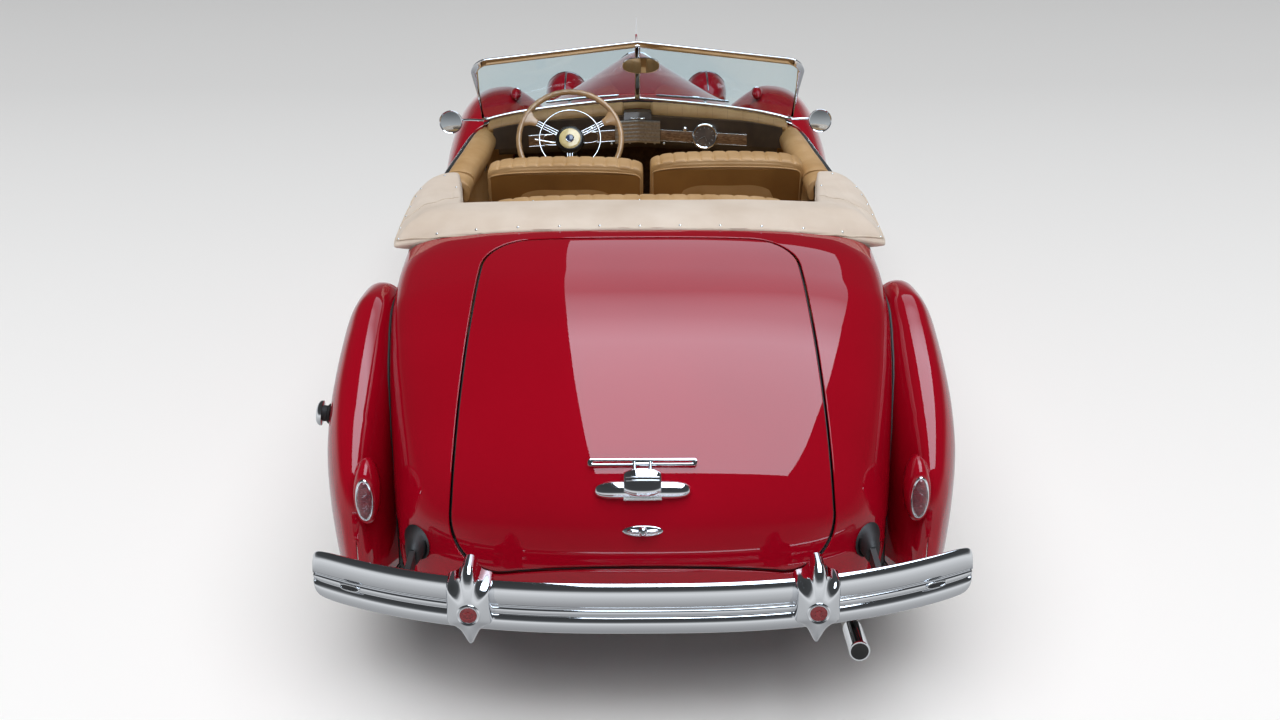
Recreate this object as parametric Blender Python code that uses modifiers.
"""A classic two-door convertible with its top folded under a boot cover.

Metres, +Z up, the front faces -Y and the car's left side is +X. The origin is at the
bottom centre, on the ground. Tables hold shares of the named sizes they follow.
"""

from bisect import bisect_right
from math import copysign, cos, hypot, pi, radians, sin, sqrt

import bmesh
import bpy
from mathutils import Matrix, Vector

# Driving sizes
WHEELBASE = 3.226
FRONT_OVERHANG = 0.860
REAR_OVERHANG = 1.160
COWL_HEIGHT = 1.140
SILL_HEIGHT = 0.300
BODY_HALF_WIDTH = 0.790
WING_REACH = 0.175
TYRE_RADIUS = 0.3685
TYRE_WIDTH = 0.178
RIM_RADIUS = 0.205
FRONT_WHEEL_INSET = 0.212
REAR_WHEEL_INSET = 0.195

WING_HALF_WIDTH = BODY_HALF_WIDTH + WING_REACH
FRONT_TRACK = 2 * (WING_HALF_WIDTH - FRONT_WHEEL_INSET)
REAR_TRACK = 2 * (WING_HALF_WIDTH - REAR_WHEEL_INSET)

# Walls and clearances
SHEET_THICKNESS = 0.008
SHELL_THICKNESS = 0.030
DOOR_THICKNESS = 0.085
DOOR_TOP_THICKNESS = 0.060
SEAM = 0.003
PANEL_GAP = 0.006
LID_GAP = 0.008
CONTACT_GAP = 0.0004
RUNNING_CLEARANCE = 0.008
DOOR_SWING_CLEARANCE = 0.022
OVERRUN = 0.050

# Chassis and floor
RAIL_WIDTH = 0.070
RAIL_DEPTH = 0.105
SILL_REACH = 0.405
RAIL_INNER_HALF = BODY_HALF_WIDTH - SILL_REACH
FLOOR_THICKNESS = 0.025
KICK_UP = 0.160

# Places along the car, as shares: -1 to 0 front overhang, 0 to 1 wheelbase, 1 to 2 rear overhang
BONNET_FRONT_SHARE = -0.020
BONNET_REAR_SHARE = 0.2985
DOOR_FRONT_SHARE = 0.3580
DOOR_REAR_SHARE = 0.6400
BELT_SHARE = 0.926
BONNET_LOW_SHARE = 0.705

FRONT_Y = -(WHEELBASE + FRONT_OVERHANG + REAR_OVERHANG) / 2
FRONT_AXLE_Y = FRONT_Y + FRONT_OVERHANG
REAR_AXLE_Y = FRONT_AXLE_Y + WHEELBASE
REAR_Y = REAR_AXLE_Y + REAR_OVERHANG
BELT_HEIGHT = BELT_SHARE * COWL_HEIGHT
RAIL_TOP = SILL_HEIGHT + RAIL_DEPTH
FLOOR_BOTTOM = RAIL_TOP + CONTACT_GAP

# Body surface along the centreline: place along, height, half width at the shoulder,
# half width at the fullest side, drop to the shoulder, roundness
BODY_SHARES = (
    (-0.600, 0.560, 0.120, 0.125, 0.150, 2.0),
    (-0.590, 0.740, 0.140, 0.145, 0.180, 2.0),
    (-0.560, 0.865, 0.165, 0.170, 0.220, 2.0),
    (-0.500, 0.925, 0.190, 0.195, 0.250, 2.0),
    (-0.400, 0.948, 0.222, 0.228, 0.263, 2.0),
    (-0.020, 0.967, 0.365, 0.380, 0.262, 2.2),
    (0.1125, 0.9825, 0.506, 0.545, 0.237, 2.3),
    (0.2365, 0.994, 0.646, 0.690, 0.210, 2.4),
    (0.2985, 0.9974, 0.715, 0.785, 0.193, 2.5),
    (0.3510, 0.9991, 0.797, 0.873, 0.150, 2.7),
    (0.4256, 1.0, 0.911, 0.956, 0.105, 3.0),
    (0.5465, 0.9982, 0.949, 0.994, 0.097, 3.0),
    (0.6705, 0.9965, 0.985, 1.0, 0.105, 2.9),
    (0.7945, 0.9965, 1.0, 1.0, 0.114, 2.8),
    (0.9430, 0.993, 1.0, 1.0, 0.132, 2.6),
    (1.0750, 0.965, 0.994, 0.994, 0.140, 2.5),
    (1.2905, 0.908, 0.975, 0.975, 0.184, 2.5),
    (1.4630, 0.833, 0.949, 0.949, 0.219, 2.5),
    (1.5920, 0.750, 0.930, 0.930, 0.246, 2.5),
    (1.6960, 0.649, 0.918, 0.918, 0.263, 2.5),
    (1.7650, 0.535, 0.905, 0.905, 0.263, 2.5),
    (1.7950, 0.421, 0.892, 0.892, 0.263, 2.5),
    (1.7860, 0.325, 0.880, 0.880, 0.246, 2.5),
)
SILL_TUCK_SHARE = 0.030


# Scene, materials and objects
for old in list(bpy.data.objects):
    bpy.data.objects.remove(old, do_unlink=True)

PARTS = bpy.data.collections.new("classic_convertible")
CUTTERS = bpy.data.collections.new("cutters")
CUTTERS.hide_render = True
for collection in (PARTS, CUTTERS):
    bpy.context.scene.collection.children.link(collection)


def material(name, colour, roughness, metallic=0.0, alpha=1.0):
    made = bpy.data.materials.new(name)
    made.use_nodes = True
    shader = made.node_tree.nodes["Principled BSDF"]
    shader.inputs["Base Color"].default_value = (*colour, 1.0)
    shader.inputs["Roughness"].default_value = roughness
    shader.inputs["Metallic"].default_value = metallic
    shader.inputs["Alpha"].default_value = alpha
    made.diffuse_color = (*colour, alpha)
    return made


RED_PAINT = material("red_paint", (0.20, 0.006, 0.010), 0.18)
CHROME = material("chrome", (0.80, 0.80, 0.82), 0.08, 1.0)
TAN_LEATHER = material("tan_leather", (0.42, 0.20, 0.09), 0.50)
CREAM_CANVAS = material("cream_canvas", (0.66, 0.56, 0.42), 0.85)
BLACK_RUBBER = material("black_rubber", (0.012, 0.012, 0.012), 0.70)
FRAME_BLACK = material("frame_black", (0.015, 0.015, 0.016), 0.50)
CAST_IRON = material("cast_iron", (0.060, 0.065, 0.065), 0.60, 0.6)
PIPE_STEEL = material("pipe_steel", (0.25, 0.24, 0.23), 0.45, 0.9)
CLEAR_GLASS = material("clear_glass", (0.80, 0.85, 0.83), 0.02, 0.0, 0.25)
RED_LENS = material("red_lens", (0.45, 0.01, 0.01), 0.15)
WOOD_BROWN = material("wood_brown", (0.13, 0.045, 0.020), 0.25)


def add_object(name, mesh, surface, smooth=True):
    made = bpy.data.objects.new(name, mesh)
    mesh.materials.clear()
    mesh.materials.append(surface)
    PARTS.objects.link(made)
    if smooth:
        mesh.shade_smooth()
        mesh.set_sharp_from_angle(angle=radians(40))
    return made


def as_cutter(made):
    """Moves a helper to the cutters' collection, where no render shows it."""
    for collection in list(made.users_collection):
        collection.objects.unlink(made)
    CUTTERS.objects.link(made)
    made.hide_render = True
    made.display_type = "WIRE"
    return made


def boolean(target, other, operation):
    step = target.modifiers.new(operation.lower() + "_" + other.name, "BOOLEAN")
    step.operation = operation
    step.object = as_cutter(other)
    step.solver = "EXACT"


def cut(target, other):
    boolean(target, other, "DIFFERENCE")


def join(target, other):
    boolean(target, other, "UNION")


def baked(made):
    """The object with its modifiers worked into its mesh."""
    bpy.context.view_layer.update()
    graph = bpy.context.evaluated_depsgraph_get()
    mesh = bpy.data.meshes.new_from_object(made.evaluated_get(graph))
    mesh.transform(made.matrix_world)
    work = bmesh.new()
    work.from_mesh(mesh)
    bmesh.ops.remove_doubles(work, verts=work.verts, dist=1e-5)
    bmesh.ops.recalc_face_normals(work, faces=work.faces)
    work.to_mesh(mesh)
    work.free()
    name, surface = made.name, made.data.materials[0]
    bpy.data.objects.remove(made, do_unlink=True)
    return add_object(name, mesh, surface)


def mirrored(made, name):
    """The right-hand copy of a left-hand piece."""
    solid = baked(made)
    mesh = solid.data.copy()
    mesh.transform(Matrix.Scale(-1, 4, (1, 0, 0)))
    mesh.flip_normals()
    return solid, add_object(name, mesh, solid.data.materials[0])


def set_origin(made, place):
    """Puts the object's origin on its joint axis without moving its shape."""
    made.data.transform(Matrix.Translation(-Vector(place)))
    made.location = place


# Shape makers
def box(name, centre, size, surface, bevel=0.0):
    bpy.ops.mesh.primitive_cube_add(size=1)
    made = bpy.context.object
    made.name = name
    made.data.transform(Matrix.Diagonal((*size, 1)))
    made.location = centre
    made.data.materials.append(surface)
    for collection in list(made.users_collection):
        collection.objects.unlink(made)
    PARTS.objects.link(made)
    if bevel:
        edge = made.modifiers.new("rounded_edges", "BEVEL")
        edge.width = bevel
        edge.segments = 2
        edge.limit_method = "ANGLE"
    return made


def cylinder(name, start, end, radius, surface, sides=24):
    start, end = Vector(start), Vector(end)
    bpy.ops.mesh.primitive_cylinder_add(
        vertices=sides, radius=radius, depth=(end - start).length
    )
    made = bpy.context.object
    made.name = name
    turn = Vector((0, 0, 1)).rotation_difference(end - start)
    made.data.transform(
        Matrix.Translation((start + end) / 2) @ turn.to_matrix().to_4x4()
    )
    made.data.materials.append(surface)
    made.data.shade_smooth()
    made.data.set_sharp_from_angle(angle=radians(40))
    for collection in list(made.users_collection):
        collection.objects.unlink(made)
    PARTS.objects.link(made)
    return made


def from_curve(name, curve, surface):
    """Turns a curve into a closed mesh object."""
    guide = bpy.data.objects.new(name + "_guide", curve)
    PARTS.objects.link(guide)
    bpy.context.view_layer.update()
    graph = bpy.context.evaluated_depsgraph_get()
    mesh = bpy.data.meshes.new_from_object(guide.evaluated_get(graph))
    mesh.transform(guide.matrix_world)
    work = bmesh.new()
    work.from_mesh(mesh)
    bmesh.ops.remove_doubles(work, verts=work.verts, dist=1e-5)
    bmesh.ops.recalc_face_normals(work, faces=work.faces)
    work.to_mesh(mesh)
    work.free()
    bpy.data.objects.remove(guide, do_unlink=True)
    return add_object(name, mesh, surface)


def tube(name, points, radius, surface, closed=False, resolution=1):
    curve = bpy.data.curves.new(name, "CURVE")
    curve.dimensions = "3D"
    curve.bevel_depth = radius
    curve.bevel_resolution = resolution
    curve.use_fill_caps = not closed
    line = curve.splines.new("POLY")
    line.points.add(len(points) - 1)
    for point, place in zip(line.points, points):
        point.co = (*place, 1)
    line.use_cyclic_u = closed
    return from_curve(name, curve, surface)


def plate(name, outline, thickness, place, surface):
    """A flat outline, extruded both ways from its plane and moved by a matrix."""
    curve = bpy.data.curves.new(name, "CURVE")
    curve.dimensions = "2D"
    curve.fill_mode = "BOTH"
    curve.extrude = thickness / 2
    line = curve.splines.new("POLY")
    line.points.add(len(outline) - 1)
    for point, (across, up) in zip(line.points, outline):
        point.co = (across, up, 0, 1)
    line.use_cyclic_u = True
    made = from_curve(name, curve, surface)
    made.data.transform(place)
    if place.determinant() < 0:
        made.data.flip_normals()
    return made


def side_plate(name, outline, x_low, x_high, surface):
    """A plate whose outline is (y, z) and whose faces look along X."""
    middle = (x_low + x_high) / 2
    turn = Matrix(((0, 0, 1, middle), (1, 0, 0, 0), (0, 1, 0, 0), (0, 0, 0, 1)))
    return plate(name, outline, x_high - x_low, turn, surface)


def turned(name, profile, centre, axis, surface, steps=32):
    """A round piece: profile points are (radius, along the axis), outer side first."""
    mesh = bpy.data.meshes.new(name)
    points = [(radius, 0, along) for radius, along in profile]
    edges = [(i, i + 1) for i in range(len(points) - 1)]
    if profile[0][0] and profile[-1][0]:
        edges.append((len(points) - 1, 0))
    mesh.from_pydata(points, edges, [])
    made = add_object(name, mesh, surface, smooth=False)
    screw = made.modifiers.new("turn", "SCREW")
    screw.steps = screw.render_steps = steps
    screw.use_merge_vertices = True
    screw.merge_threshold = 1e-5
    screw.use_normal_calculate = True
    turn = Vector((0, 0, 1)).rotation_difference(Vector(axis))
    made.matrix_world = Matrix.Translation(centre) @ turn.to_matrix().to_4x4()
    return baked(made)


def grid_faces(rows, columns, closed):
    faces = []
    wrap = columns if closed else columns - 1
    for row in range(rows - 1):
        for column in range(wrap):
            after = (column + 1) % columns
            first = row * columns
            faces.append(
                (first + column, first + after, first + columns + after, first + columns + column)
            )
    return faces


def loft(name, rings, surface, closed=True, thickness=0.0):
    """A skin through unlike sections: closed rings get end caps, open ones a wall."""
    columns = len(rings[0])
    faces = grid_faces(len(rings), columns, closed)
    if closed:
        faces.append(tuple(reversed(range(columns))))
        faces.append(tuple(range((len(rings) - 1) * columns, len(rings) * columns)))
    mesh = bpy.data.meshes.new(name)
    mesh.from_pydata([point for ring in rings for point in ring], [], faces)
    work = bmesh.new()
    work.from_mesh(mesh)
    bmesh.ops.remove_doubles(work, verts=work.verts, dist=1e-5)
    bmesh.ops.recalc_face_normals(work, faces=work.faces)
    work.to_mesh(mesh)
    work.free()
    made = add_object(name, mesh, surface)
    if thickness:
        wall = made.modifiers.new("wall", "SOLIDIFY")
        wall.thickness = thickness
        wall.offset = -1
        wall.use_even_offset = True
    return made


def face_outwards(made, inside):
    """Turns an open skin's faces away from a point inside the car."""
    mesh = made.data
    total = sum(
        face.area * face.normal.dot(face.center - Vector(inside)) for face in mesh.polygons
    )
    if total < 0:
        mesh.flip_normals()


# Smooth tables
def slopes(places, values):
    """Slopes of a curve through the values that never overshoots them."""
    steps = [b - a for a, b in zip(places, places[1:])]
    rises = [(b - a) / step for a, b, step in zip(values, values[1:], steps)]
    found = [rises[0]]
    for i in range(1, len(rises)):
        if rises[i - 1] * rises[i] <= 0:
            found.append(0.0)
            continue
        before, after = 2 * steps[i] + steps[i - 1], steps[i] + 2 * steps[i - 1]
        found.append((before + after) / (before / rises[i - 1] + after / rises[i]))
    found.append(rises[-1])
    return found


class Table:
    """Columns of values, read smoothly at any place along the first list."""

    def __init__(self, places, rows):
        self.places = places
        self.columns = list(zip(*rows))
        self.slopes = [slopes(places, column) for column in self.columns]

    def at(self, place):
        last = len(self.places) - 2
        i = min(max(bisect_right(self.places, place) - 1, 0), last)
        step = self.places[i + 1] - self.places[i]
        t = min(max((place - self.places[i]) / step, 0), 1)
        found = []
        for column, slope in zip(self.columns, self.slopes):
            a, b = column[i], column[i + 1]
            da, db = slope[i] * step, slope[i + 1] * step
            found.append(
                (2 * t**3 - 3 * t**2 + 1) * a
                + (t**3 - 2 * t**2 + t) * da
                + (3 * t**2 - 2 * t**3) * b
                + (t**3 - t**2) * db
            )
        return found


def y_at(share):
    """Place along the car: -1 front face, 0 front axle, 1 rear axle, 2 rear face."""
    if share < 0:
        return FRONT_AXLE_Y + share * FRONT_OVERHANG
    if share > 1:
        return REAR_AXLE_Y + (share - 1) * REAR_OVERHANG
    return FRONT_AXLE_Y + share * WHEELBASE


# The common body surface
def body_table():
    rows = []
    for along, height, width, full, drop, roundness in BODY_SHARES:
        rows.append(
            (
                y_at(along),
                height * COWL_HEIGHT,
                width * BODY_HALF_WIDTH,
                full * BODY_HALF_WIDTH,
                drop * COWL_HEIGHT,
                roundness,
            )
        )
    places = [0.0]
    for before, after in zip(rows, rows[1:]):
        places.append(places[-1] + hypot(after[0] - before[0], after[1] - before[1]))
    return Table(places, rows)


BODY = body_table()
BODY_LENGTH = BODY.places[-1]


def body_frame(s):
    """Centreline point, outward normal and section sizes at arc length s."""
    y, z, width, full, drop, roundness = BODY.at(s)
    step = BODY_LENGTH / 2000
    ahead, behind = BODY.at(min(s + step, BODY_LENGTH)), BODY.at(max(s - step, 0))
    run, rise = ahead[0] - behind[0], ahead[1] - behind[1]
    size = hypot(run, rise)
    return y, z, -rise / size, run / size, width, full, drop, roundness


def s_at(share):
    """Arc length on the upper centreline at a share of the car's length."""
    return s_at_y(y_at(share))


def s_at_y(y):
    """Arc length on the upper centreline at a place along the car."""
    low, high = BODY.places[2], BODY.places[-2]
    for _ in range(40):
        middle = (low + high) / 2
        if BODY.at(middle)[0] < y:
            low = middle
        else:
            high = middle
    return low


def body_section(s, steps=24, grow=0.0):
    """Half a section of the body, from the centreline over the shoulder to the sill."""
    y, z, ny, nz, width, full, drop, roundness = body_frame(s)
    y, z = y + ny * grow, z + nz * grow
    width, full, drop = width + grow, full + grow, drop + grow
    points = []
    for i in range(steps + 1):
        angle = pi / 2 * i / steps
        across = width * sin(angle) ** (2 / roundness)
        deep = drop * (1 - max(cos(angle), 0) ** (2 / roundness))
        points.append(Vector((across, y - ny * deep, z - nz * deep)))
    shoulder = points[-1]
    tuck = SILL_TUCK_SHARE * BODY_HALF_WIDTH
    for i in range(1, steps + 1):
        f = i / steps
        bulge = sin(pi * f)
        if f <= 0.5:
            across = width + (full - width) * bulge
        else:
            across = full - tuck * (1 - bulge)
        points.append(Vector((across, shoulder.y, shoulder.z + (SILL_HEIGHT - shoulder.z) * f)))
    return points


def resample(points, count):
    """The same line with evenly spaced points."""
    lengths = [0.0]
    for a, b in zip(points, points[1:]):
        lengths.append(lengths[-1] + (b - a).length)
    found = []
    for i in range(count):
        target = lengths[-1] * i / (count - 1)
        k = min(max(bisect_right(lengths, target) - 1, 0), len(points) - 2)
        step = lengths[k + 1] - lengths[k]
        t = (target - lengths[k]) / step if step else 0
        found.append(points[k].lerp(points[k + 1], min(max(t, 0), 1)))
    return found


def trimmed(points, high, low):
    """The stretch of a falling line between two heights."""
    found = []
    for a, b in zip(points, points[1:]):
        for limit in (high, low):
            if (a.z - limit) * (b.z - limit) < 0:
                found.append(a.lerp(b, (limit - a.z) / (b.z - a.z)))
        if low <= b.z <= high:
            found.append(b)
    if low <= points[0].z <= high:
        found.insert(0, points[0])
    return found


def skin_x(y, z):
    """Half width of the body surface at a height, found from the nearest section."""
    samples = 240
    best = None
    for i in range(samples + 1):
        s = BODY_LENGTH * i / samples
        cy, cz, ny, nz, width, full, drop, roundness = body_frame(s)
        along = (y - cy) * nz - (z - cz) * ny
        deep = (cy - y) * ny + (cz - z) * nz
        side = abs(along) if deep <= drop else abs(y - (cy - ny * drop))
        if deep < -0.02 * drop:
            continue
        if best is None or side < best[0]:
            best = (side, deep, width, full, drop, roundness, cz - nz * drop)
    if best is None:
        return 0.0
    _, deep, width, full, drop, roundness, shoulder = best
    if deep < drop:
        return width * max(1 - (1 - max(deep, 0) / drop) ** roundness, 0) ** (1 / roundness)
    f = min(max((shoulder - z) / max(shoulder - SILL_HEIGHT, SEAM), 0), 1)
    if f <= 0.5:
        return width + (full - width) * sin(pi * f)
    return full - SILL_TUCK_SHARE * BODY_HALF_WIDTH * (1 - sin(pi * f))


def skin_z(x, y):
    """Height of the body's upper surface."""
    _, z, _, _, width, _, drop, roundness = body_frame(s_at_y(y))
    return z - drop * (1 - max(1 - (abs(x) / width) ** roundness, 0) ** (1 / roundness))


def spread(low, high, count):
    return [low + (high - low) * i / (count - 1) for i in range(count)]


def half_to_whole(line):
    """A half section from the centreline, doubled to run from sill to sill."""
    left = list(reversed(line))
    right = [Vector((-point.x, point.y, point.z)) for point in line[1:]]
    return left + right


# Body panels
LID_TURN = radians(48)
LID_TOP_SHARE = 0.9603
LID_BOTTOM_SHARE = 1.7905
LID_TOP_HALF_SHARE = 0.6329
LID_BOTTOM_HALF_SHARE = 0.6772
LID_CORNER = 0.150
LID_BOTTOM_HEIGHT_SHARE = 0.4535
LID_PANEL_FRONT_SHARE = 0.900
CORNER_STEPS = 6
REAR_ROW_SHARE = 1.050
WHEELHOUSE_MARGIN = 0.060
FIREWALL_THICKNESS = 0.020
COLUMN_RADIUS = 0.024
COLUMN_HOLE = 0.036

LID_BOTTOM_HEIGHT = LID_BOTTOM_HEIGHT_SHARE * COWL_HEIGHT
LID_TOP_HALF = LID_TOP_HALF_SHARE * BODY_HALF_WIDTH
LID_BOTTOM_HALF = LID_BOTTOM_HALF_SHARE * BODY_HALF_WIDTH
LID_TOP_Y = y_at(LID_TOP_SHARE)
LID_TOP_Z = BODY.at(s_at(LID_TOP_SHARE))[1]
LID_BOTTOM_Y = y_at(LID_BOTTOM_SHARE)
WHEELHOUSE_RADIUS = TYRE_RADIUS + WHEELHOUSE_MARGIN


def lid_prism(name, grow):
    """The lid's rounded outline, run through the tail along the closing direction."""
    out = Vector((0, cos(LID_TURN), sin(LID_TURN)))
    down = Vector((0, sin(LID_TURN), -cos(LID_TURN)))
    top = Vector((0, LID_TOP_Y, LID_TOP_Z))
    bottom = Vector((0, LID_BOTTOM_Y, LID_BOTTOM_HEIGHT))
    length = (bottom - top).dot(down)
    corners = (
        (LID_TOP_HALF + grow, -grow, 0),
        (LID_BOTTOM_HALF + grow, length + grow, -pi / 2),
    )
    outline = []
    radius = LID_CORNER + grow
    for i, (half, edge, start) in enumerate(corners):
        inner = edge + radius if i == 0 else edge - radius
        for k in range(CORNER_STEPS + 1):
            turned_by = k / CORNER_STEPS
            angle = pi / 2 * (1 - turned_by) if i == 0 else -pi / 2 * turned_by
            outline.append((half - radius + radius * cos(angle), inner - radius * sin(angle)))
    outline += [(-across, along) for across, along in reversed(outline)]
    place = Matrix.Identity(4)
    for row in range(3):
        place[row][0] = (1, 0, 0)[row]
        place[row][1] = down[row]
        place[row][2] = -out[row]
        place[row][3] = top[row]
    return plate(name, outline, REAR_OVERHANG, place, RED_PAINT)


# Boot cover over the folded top, as a padded U round the back of the cabin. Each row is one
# station: inner edge across and along, outer edge across and along, crown and edge heights
BOOT_SHARES = (
    (0.880, 0.6500, 1.000, 0.6600, 0.40, 0.30),
    (0.868, 0.6650, 1.030, 0.6900, 0.50, 0.38),
    (0.850, 0.6950, 1.050, 0.7300, 0.52, 0.38),
    (0.830, 0.7350, 1.058, 0.7800, 0.54, 0.36),
    (0.810, 0.7750, 1.062, 0.8350, 0.58, 0.34),
    (0.798, 0.8050, 1.062, 0.8750, 0.66, 0.30),
    (0.780, 0.8250, 1.050, 0.9020, 0.78, 0.32),
    (0.720, 0.8360, 0.960, 0.9070, 0.86, 0.40),
    (0.560, 0.8420, 0.740, 0.9230, 0.94, 0.64),
    (0.320, 0.8455, 0.400, 0.9330, 0.99, 0.76),
    (0.0, 0.8465, 0.0, 0.9360, 1.00, 0.79),
)
BOOT_DROP = 0.1165
BOOT_BASE = COWL_HEIGHT - BOOT_DROP
BOOT_RISE = 0.142


# The opening behind the windscreen: share across the body and place along
COCKPIT_SHARES = ((0.0, 0.3600), (0.840, 0.4200), (0.880, 0.4880))
COCKPIT_WIDE_SHARE = 0.5080
BOOT_CORNER_SHARE = 0.9000


def cockpit_prism(name):
    """The opening in plan, from the V of the windscreen back to the boot cover's edge."""
    wide = BODY_HALF_WIDTH + OVERRUN
    half = [(across * BODY_HALF_WIDTH, y_at(along)) for across, along in COCKPIT_SHARES]
    half.append((wide, y_at(COCKPIT_WIDE_SHARE)))
    rear = [row for row in BOOT_SHARES if row[3] > BOOT_CORNER_SHARE]
    half.append((wide, y_at(rear[0][3]) + PANEL_GAP))
    for _, _, across, along, _, _ in rear[1:]:
        half.append((across * BODY_HALF_WIDTH, y_at(along) + PANEL_GAP))
    outline = half + [(-x, y) for x, y in reversed(half[1:-1])]
    low = BOOT_BASE - CONTACT_GAP
    high = COWL_HEIGHT + OVERRUN
    return plate(name, outline, high - low, Matrix.Translation((0, 0, (low + high) / 2)), RED_PAINT)


def make_rear_body():
    start = s_at(DOOR_REAR_SHARE) + PANEL_GAP
    rows = [half_to_whole(resample(body_section(s), 14)) for s in rear_stations(start)]
    shell = loft("rear_body", rows, RED_PAINT, closed=False, thickness=SHELL_THICKNESS)
    face_outwards(shell, (0, REAR_AXLE_Y, SILL_HEIGHT))
    shell = baked(shell)
    cut(shell, cockpit_prism("cockpit_cutter"))
    cut(shell, lid_prism("lid_cutter", LID_GAP))
    for side in (-1, 1):
        cut(shell, wheelhouse_cylinder(f"arch_cutter_{side}", side, WHEELHOUSE_RADIUS + SEAM))
        cut(
            shell,
            cylinder(
                f"iron_cutter_{side}",
                (side * IRON_HALF, REAR_Y, IRON_HEIGHT),
                (side * IRON_HALF, y_at(IRON_CUT_SHARE), IRON_HEIGHT),
                GROMMET_RADIUS,
                RED_PAINT,
                16,
            ),
        )
    return baked(shell)


def rear_stations(start):
    middle = s_at(REAR_ROW_SHARE)
    return spread(start, middle, 6) + spread(middle, BODY_LENGTH, 12)[1:]


def wheelhouse_cylinder(name, side, radius):
    return cylinder(
        name,
        (side * WHEELHOUSE_INNER, REAR_AXLE_Y, TYRE_RADIUS),
        (side * (BODY_HALF_WIDTH + OVERRUN), REAR_AXLE_Y, TYRE_RADIUS),
        radius,
        RED_PAINT,
        32,
    )


IRON_HALF_SHARE = 0.8101
IRON_HALF = IRON_HALF_SHARE * BODY_HALF_WIDTH
IRON_HEIGHT = 0.520
IRON_CUT_SHARE = 1.550
GROMMET_RADIUS = 0.034
WHEELHOUSE_REACH = 0.100
WHEELHOUSE_INNER = REAR_TRACK / 2 - TYRE_WIDTH / 2 - WHEELHOUSE_REACH


def make_lid():
    rows = [half_to_whole(resample(body_section(s), 14)) for s in rear_stations(s_at(LID_PANEL_FRONT_SHARE))]
    lid = loft("boot_lid", rows, RED_PAINT, closed=False, thickness=SHELL_THICKNESS)
    face_outwards(lid, (0, REAR_AXLE_Y, SILL_HEIGHT))
    lid = baked(lid)
    boolean(lid, lid_prism("lid_outline", 0.0), "INTERSECT")
    return baked(lid)


COWL_REAR_SHARE = 0.430
DOOR_CUT_SHARE = 0.500
COLUMN_HOLE_START_SHARE = 0.300


def make_cowl():
    start, end = s_at(BONNET_REAR_SHARE) + PANEL_GAP / 2, s_at(COWL_REAR_SHARE)
    rows = [half_to_whole(resample(body_section(s), 16)) for s in spread(start, end, 7)]
    shell = loft("cowl", rows, RED_PAINT, closed=False, thickness=SHELL_THICKNESS)
    face_outwards(shell, (0, y_at(DOOR_FRONT_SHARE), SILL_HEIGHT))
    shell = baked(shell)
    cut(shell, cockpit_prism("windscreen_cutter"))
    door_front = y_at(DOOR_FRONT_SHARE) - PANEL_GAP
    high = BELT_HEIGHT + PANEL_GAP
    for side in (-1, 1):
        centre = (side * BODY_HALF_WIDTH, (door_front + y_at(DOOR_CUT_SHARE)) / 2, high / 2)
        size = (BODY_HALF_WIDTH, y_at(DOOR_CUT_SHARE) - door_front, high)
        cut(shell, box(f"door_cutter_{side}", centre, size, RED_PAINT))
    inner = resample(body_section(start, grow=-SHELL_THICKNESS / 2), 16)
    foot = FLOOR_BOTTOM + FLOOR_THICKNESS + RUNNING_CLEARANCE
    outline = [(p.x, p.z) for p in inner if p.z > foot]
    outline[0] = (0, outline[0][1])
    outline.append((outline[-1][0], foot))
    outline += [(-x, z) for x, z in reversed(outline[1:])]
    turn = Matrix(((1, 0, 0, 0), (0, 0, 1, 0), (0, 1, 0, 0), (0, 0, 0, 1)))
    middle = y_at(BONNET_REAR_SHARE) + PANEL_GAP / 2 + FIREWALL_THICKNESS
    firewall = plate(
        "firewall", outline, FIREWALL_THICKNESS, Matrix.Translation((0, middle, 0)) @ turn, RED_PAINT
    )
    join(shell, firewall)
    for side in (-1, 1):
        join(shell, side_panel(side))
    high_end = column_point(COLUMN_HOLE_START_SHARE)
    hole = cylinder("column_hole", high_end, column_point(1), COLUMN_HOLE, RED_PAINT, 12)
    cut(shell, hole)
    return baked(shell)


PANEL_FRONT_SHARE = 0.135


def side_panel(side):
    """The fixed panel under one half of the bonnet, let into the front of the cowl."""
    rings = []
    start, end = s_at(PANEL_FRONT_SHARE), s_at(BONNET_REAR_SHARE) + SHELL_THICKNESS / 2
    for s in spread(start, end, 6):
        high = BONNET_LOW_SHARE * COWL_HEIGHT - RUNNING_CLEARANCE - SEAM
        outer = resample(trimmed(body_section(s, grow=-SEAM), high, RAIL_TOP + RUNNING_CLEARANCE), 6)
        inner = [Vector((p.x - SHEET_THICKNESS, p.y, p.z)) for p in reversed(outer)]
        rings.append([Vector((side * p.x, p.y, p.z)) for p in outer + inner])
    return loft(f"side_panel_{side}", rings, RED_PAINT)


# Steering column: its line from the hub forward and down
HUB_X_SHARE = 0.3608
HUB_X = HUB_X_SHARE * BODY_HALF_WIDTH
HUB_DROP = 0.065
HUB_HEIGHT = COWL_HEIGHT - HUB_DROP
HUB_SHARE = 0.4850
COLUMN_SLOPE = radians(36)
COLUMN_LENGTH = 1.050


def column_point(share):
    along = share * COLUMN_LENGTH
    return Vector(
        (HUB_X, y_at(HUB_SHARE) - along * cos(COLUMN_SLOPE), HUB_HEIGHT - along * sin(COLUMN_SLOPE))
    )


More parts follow.
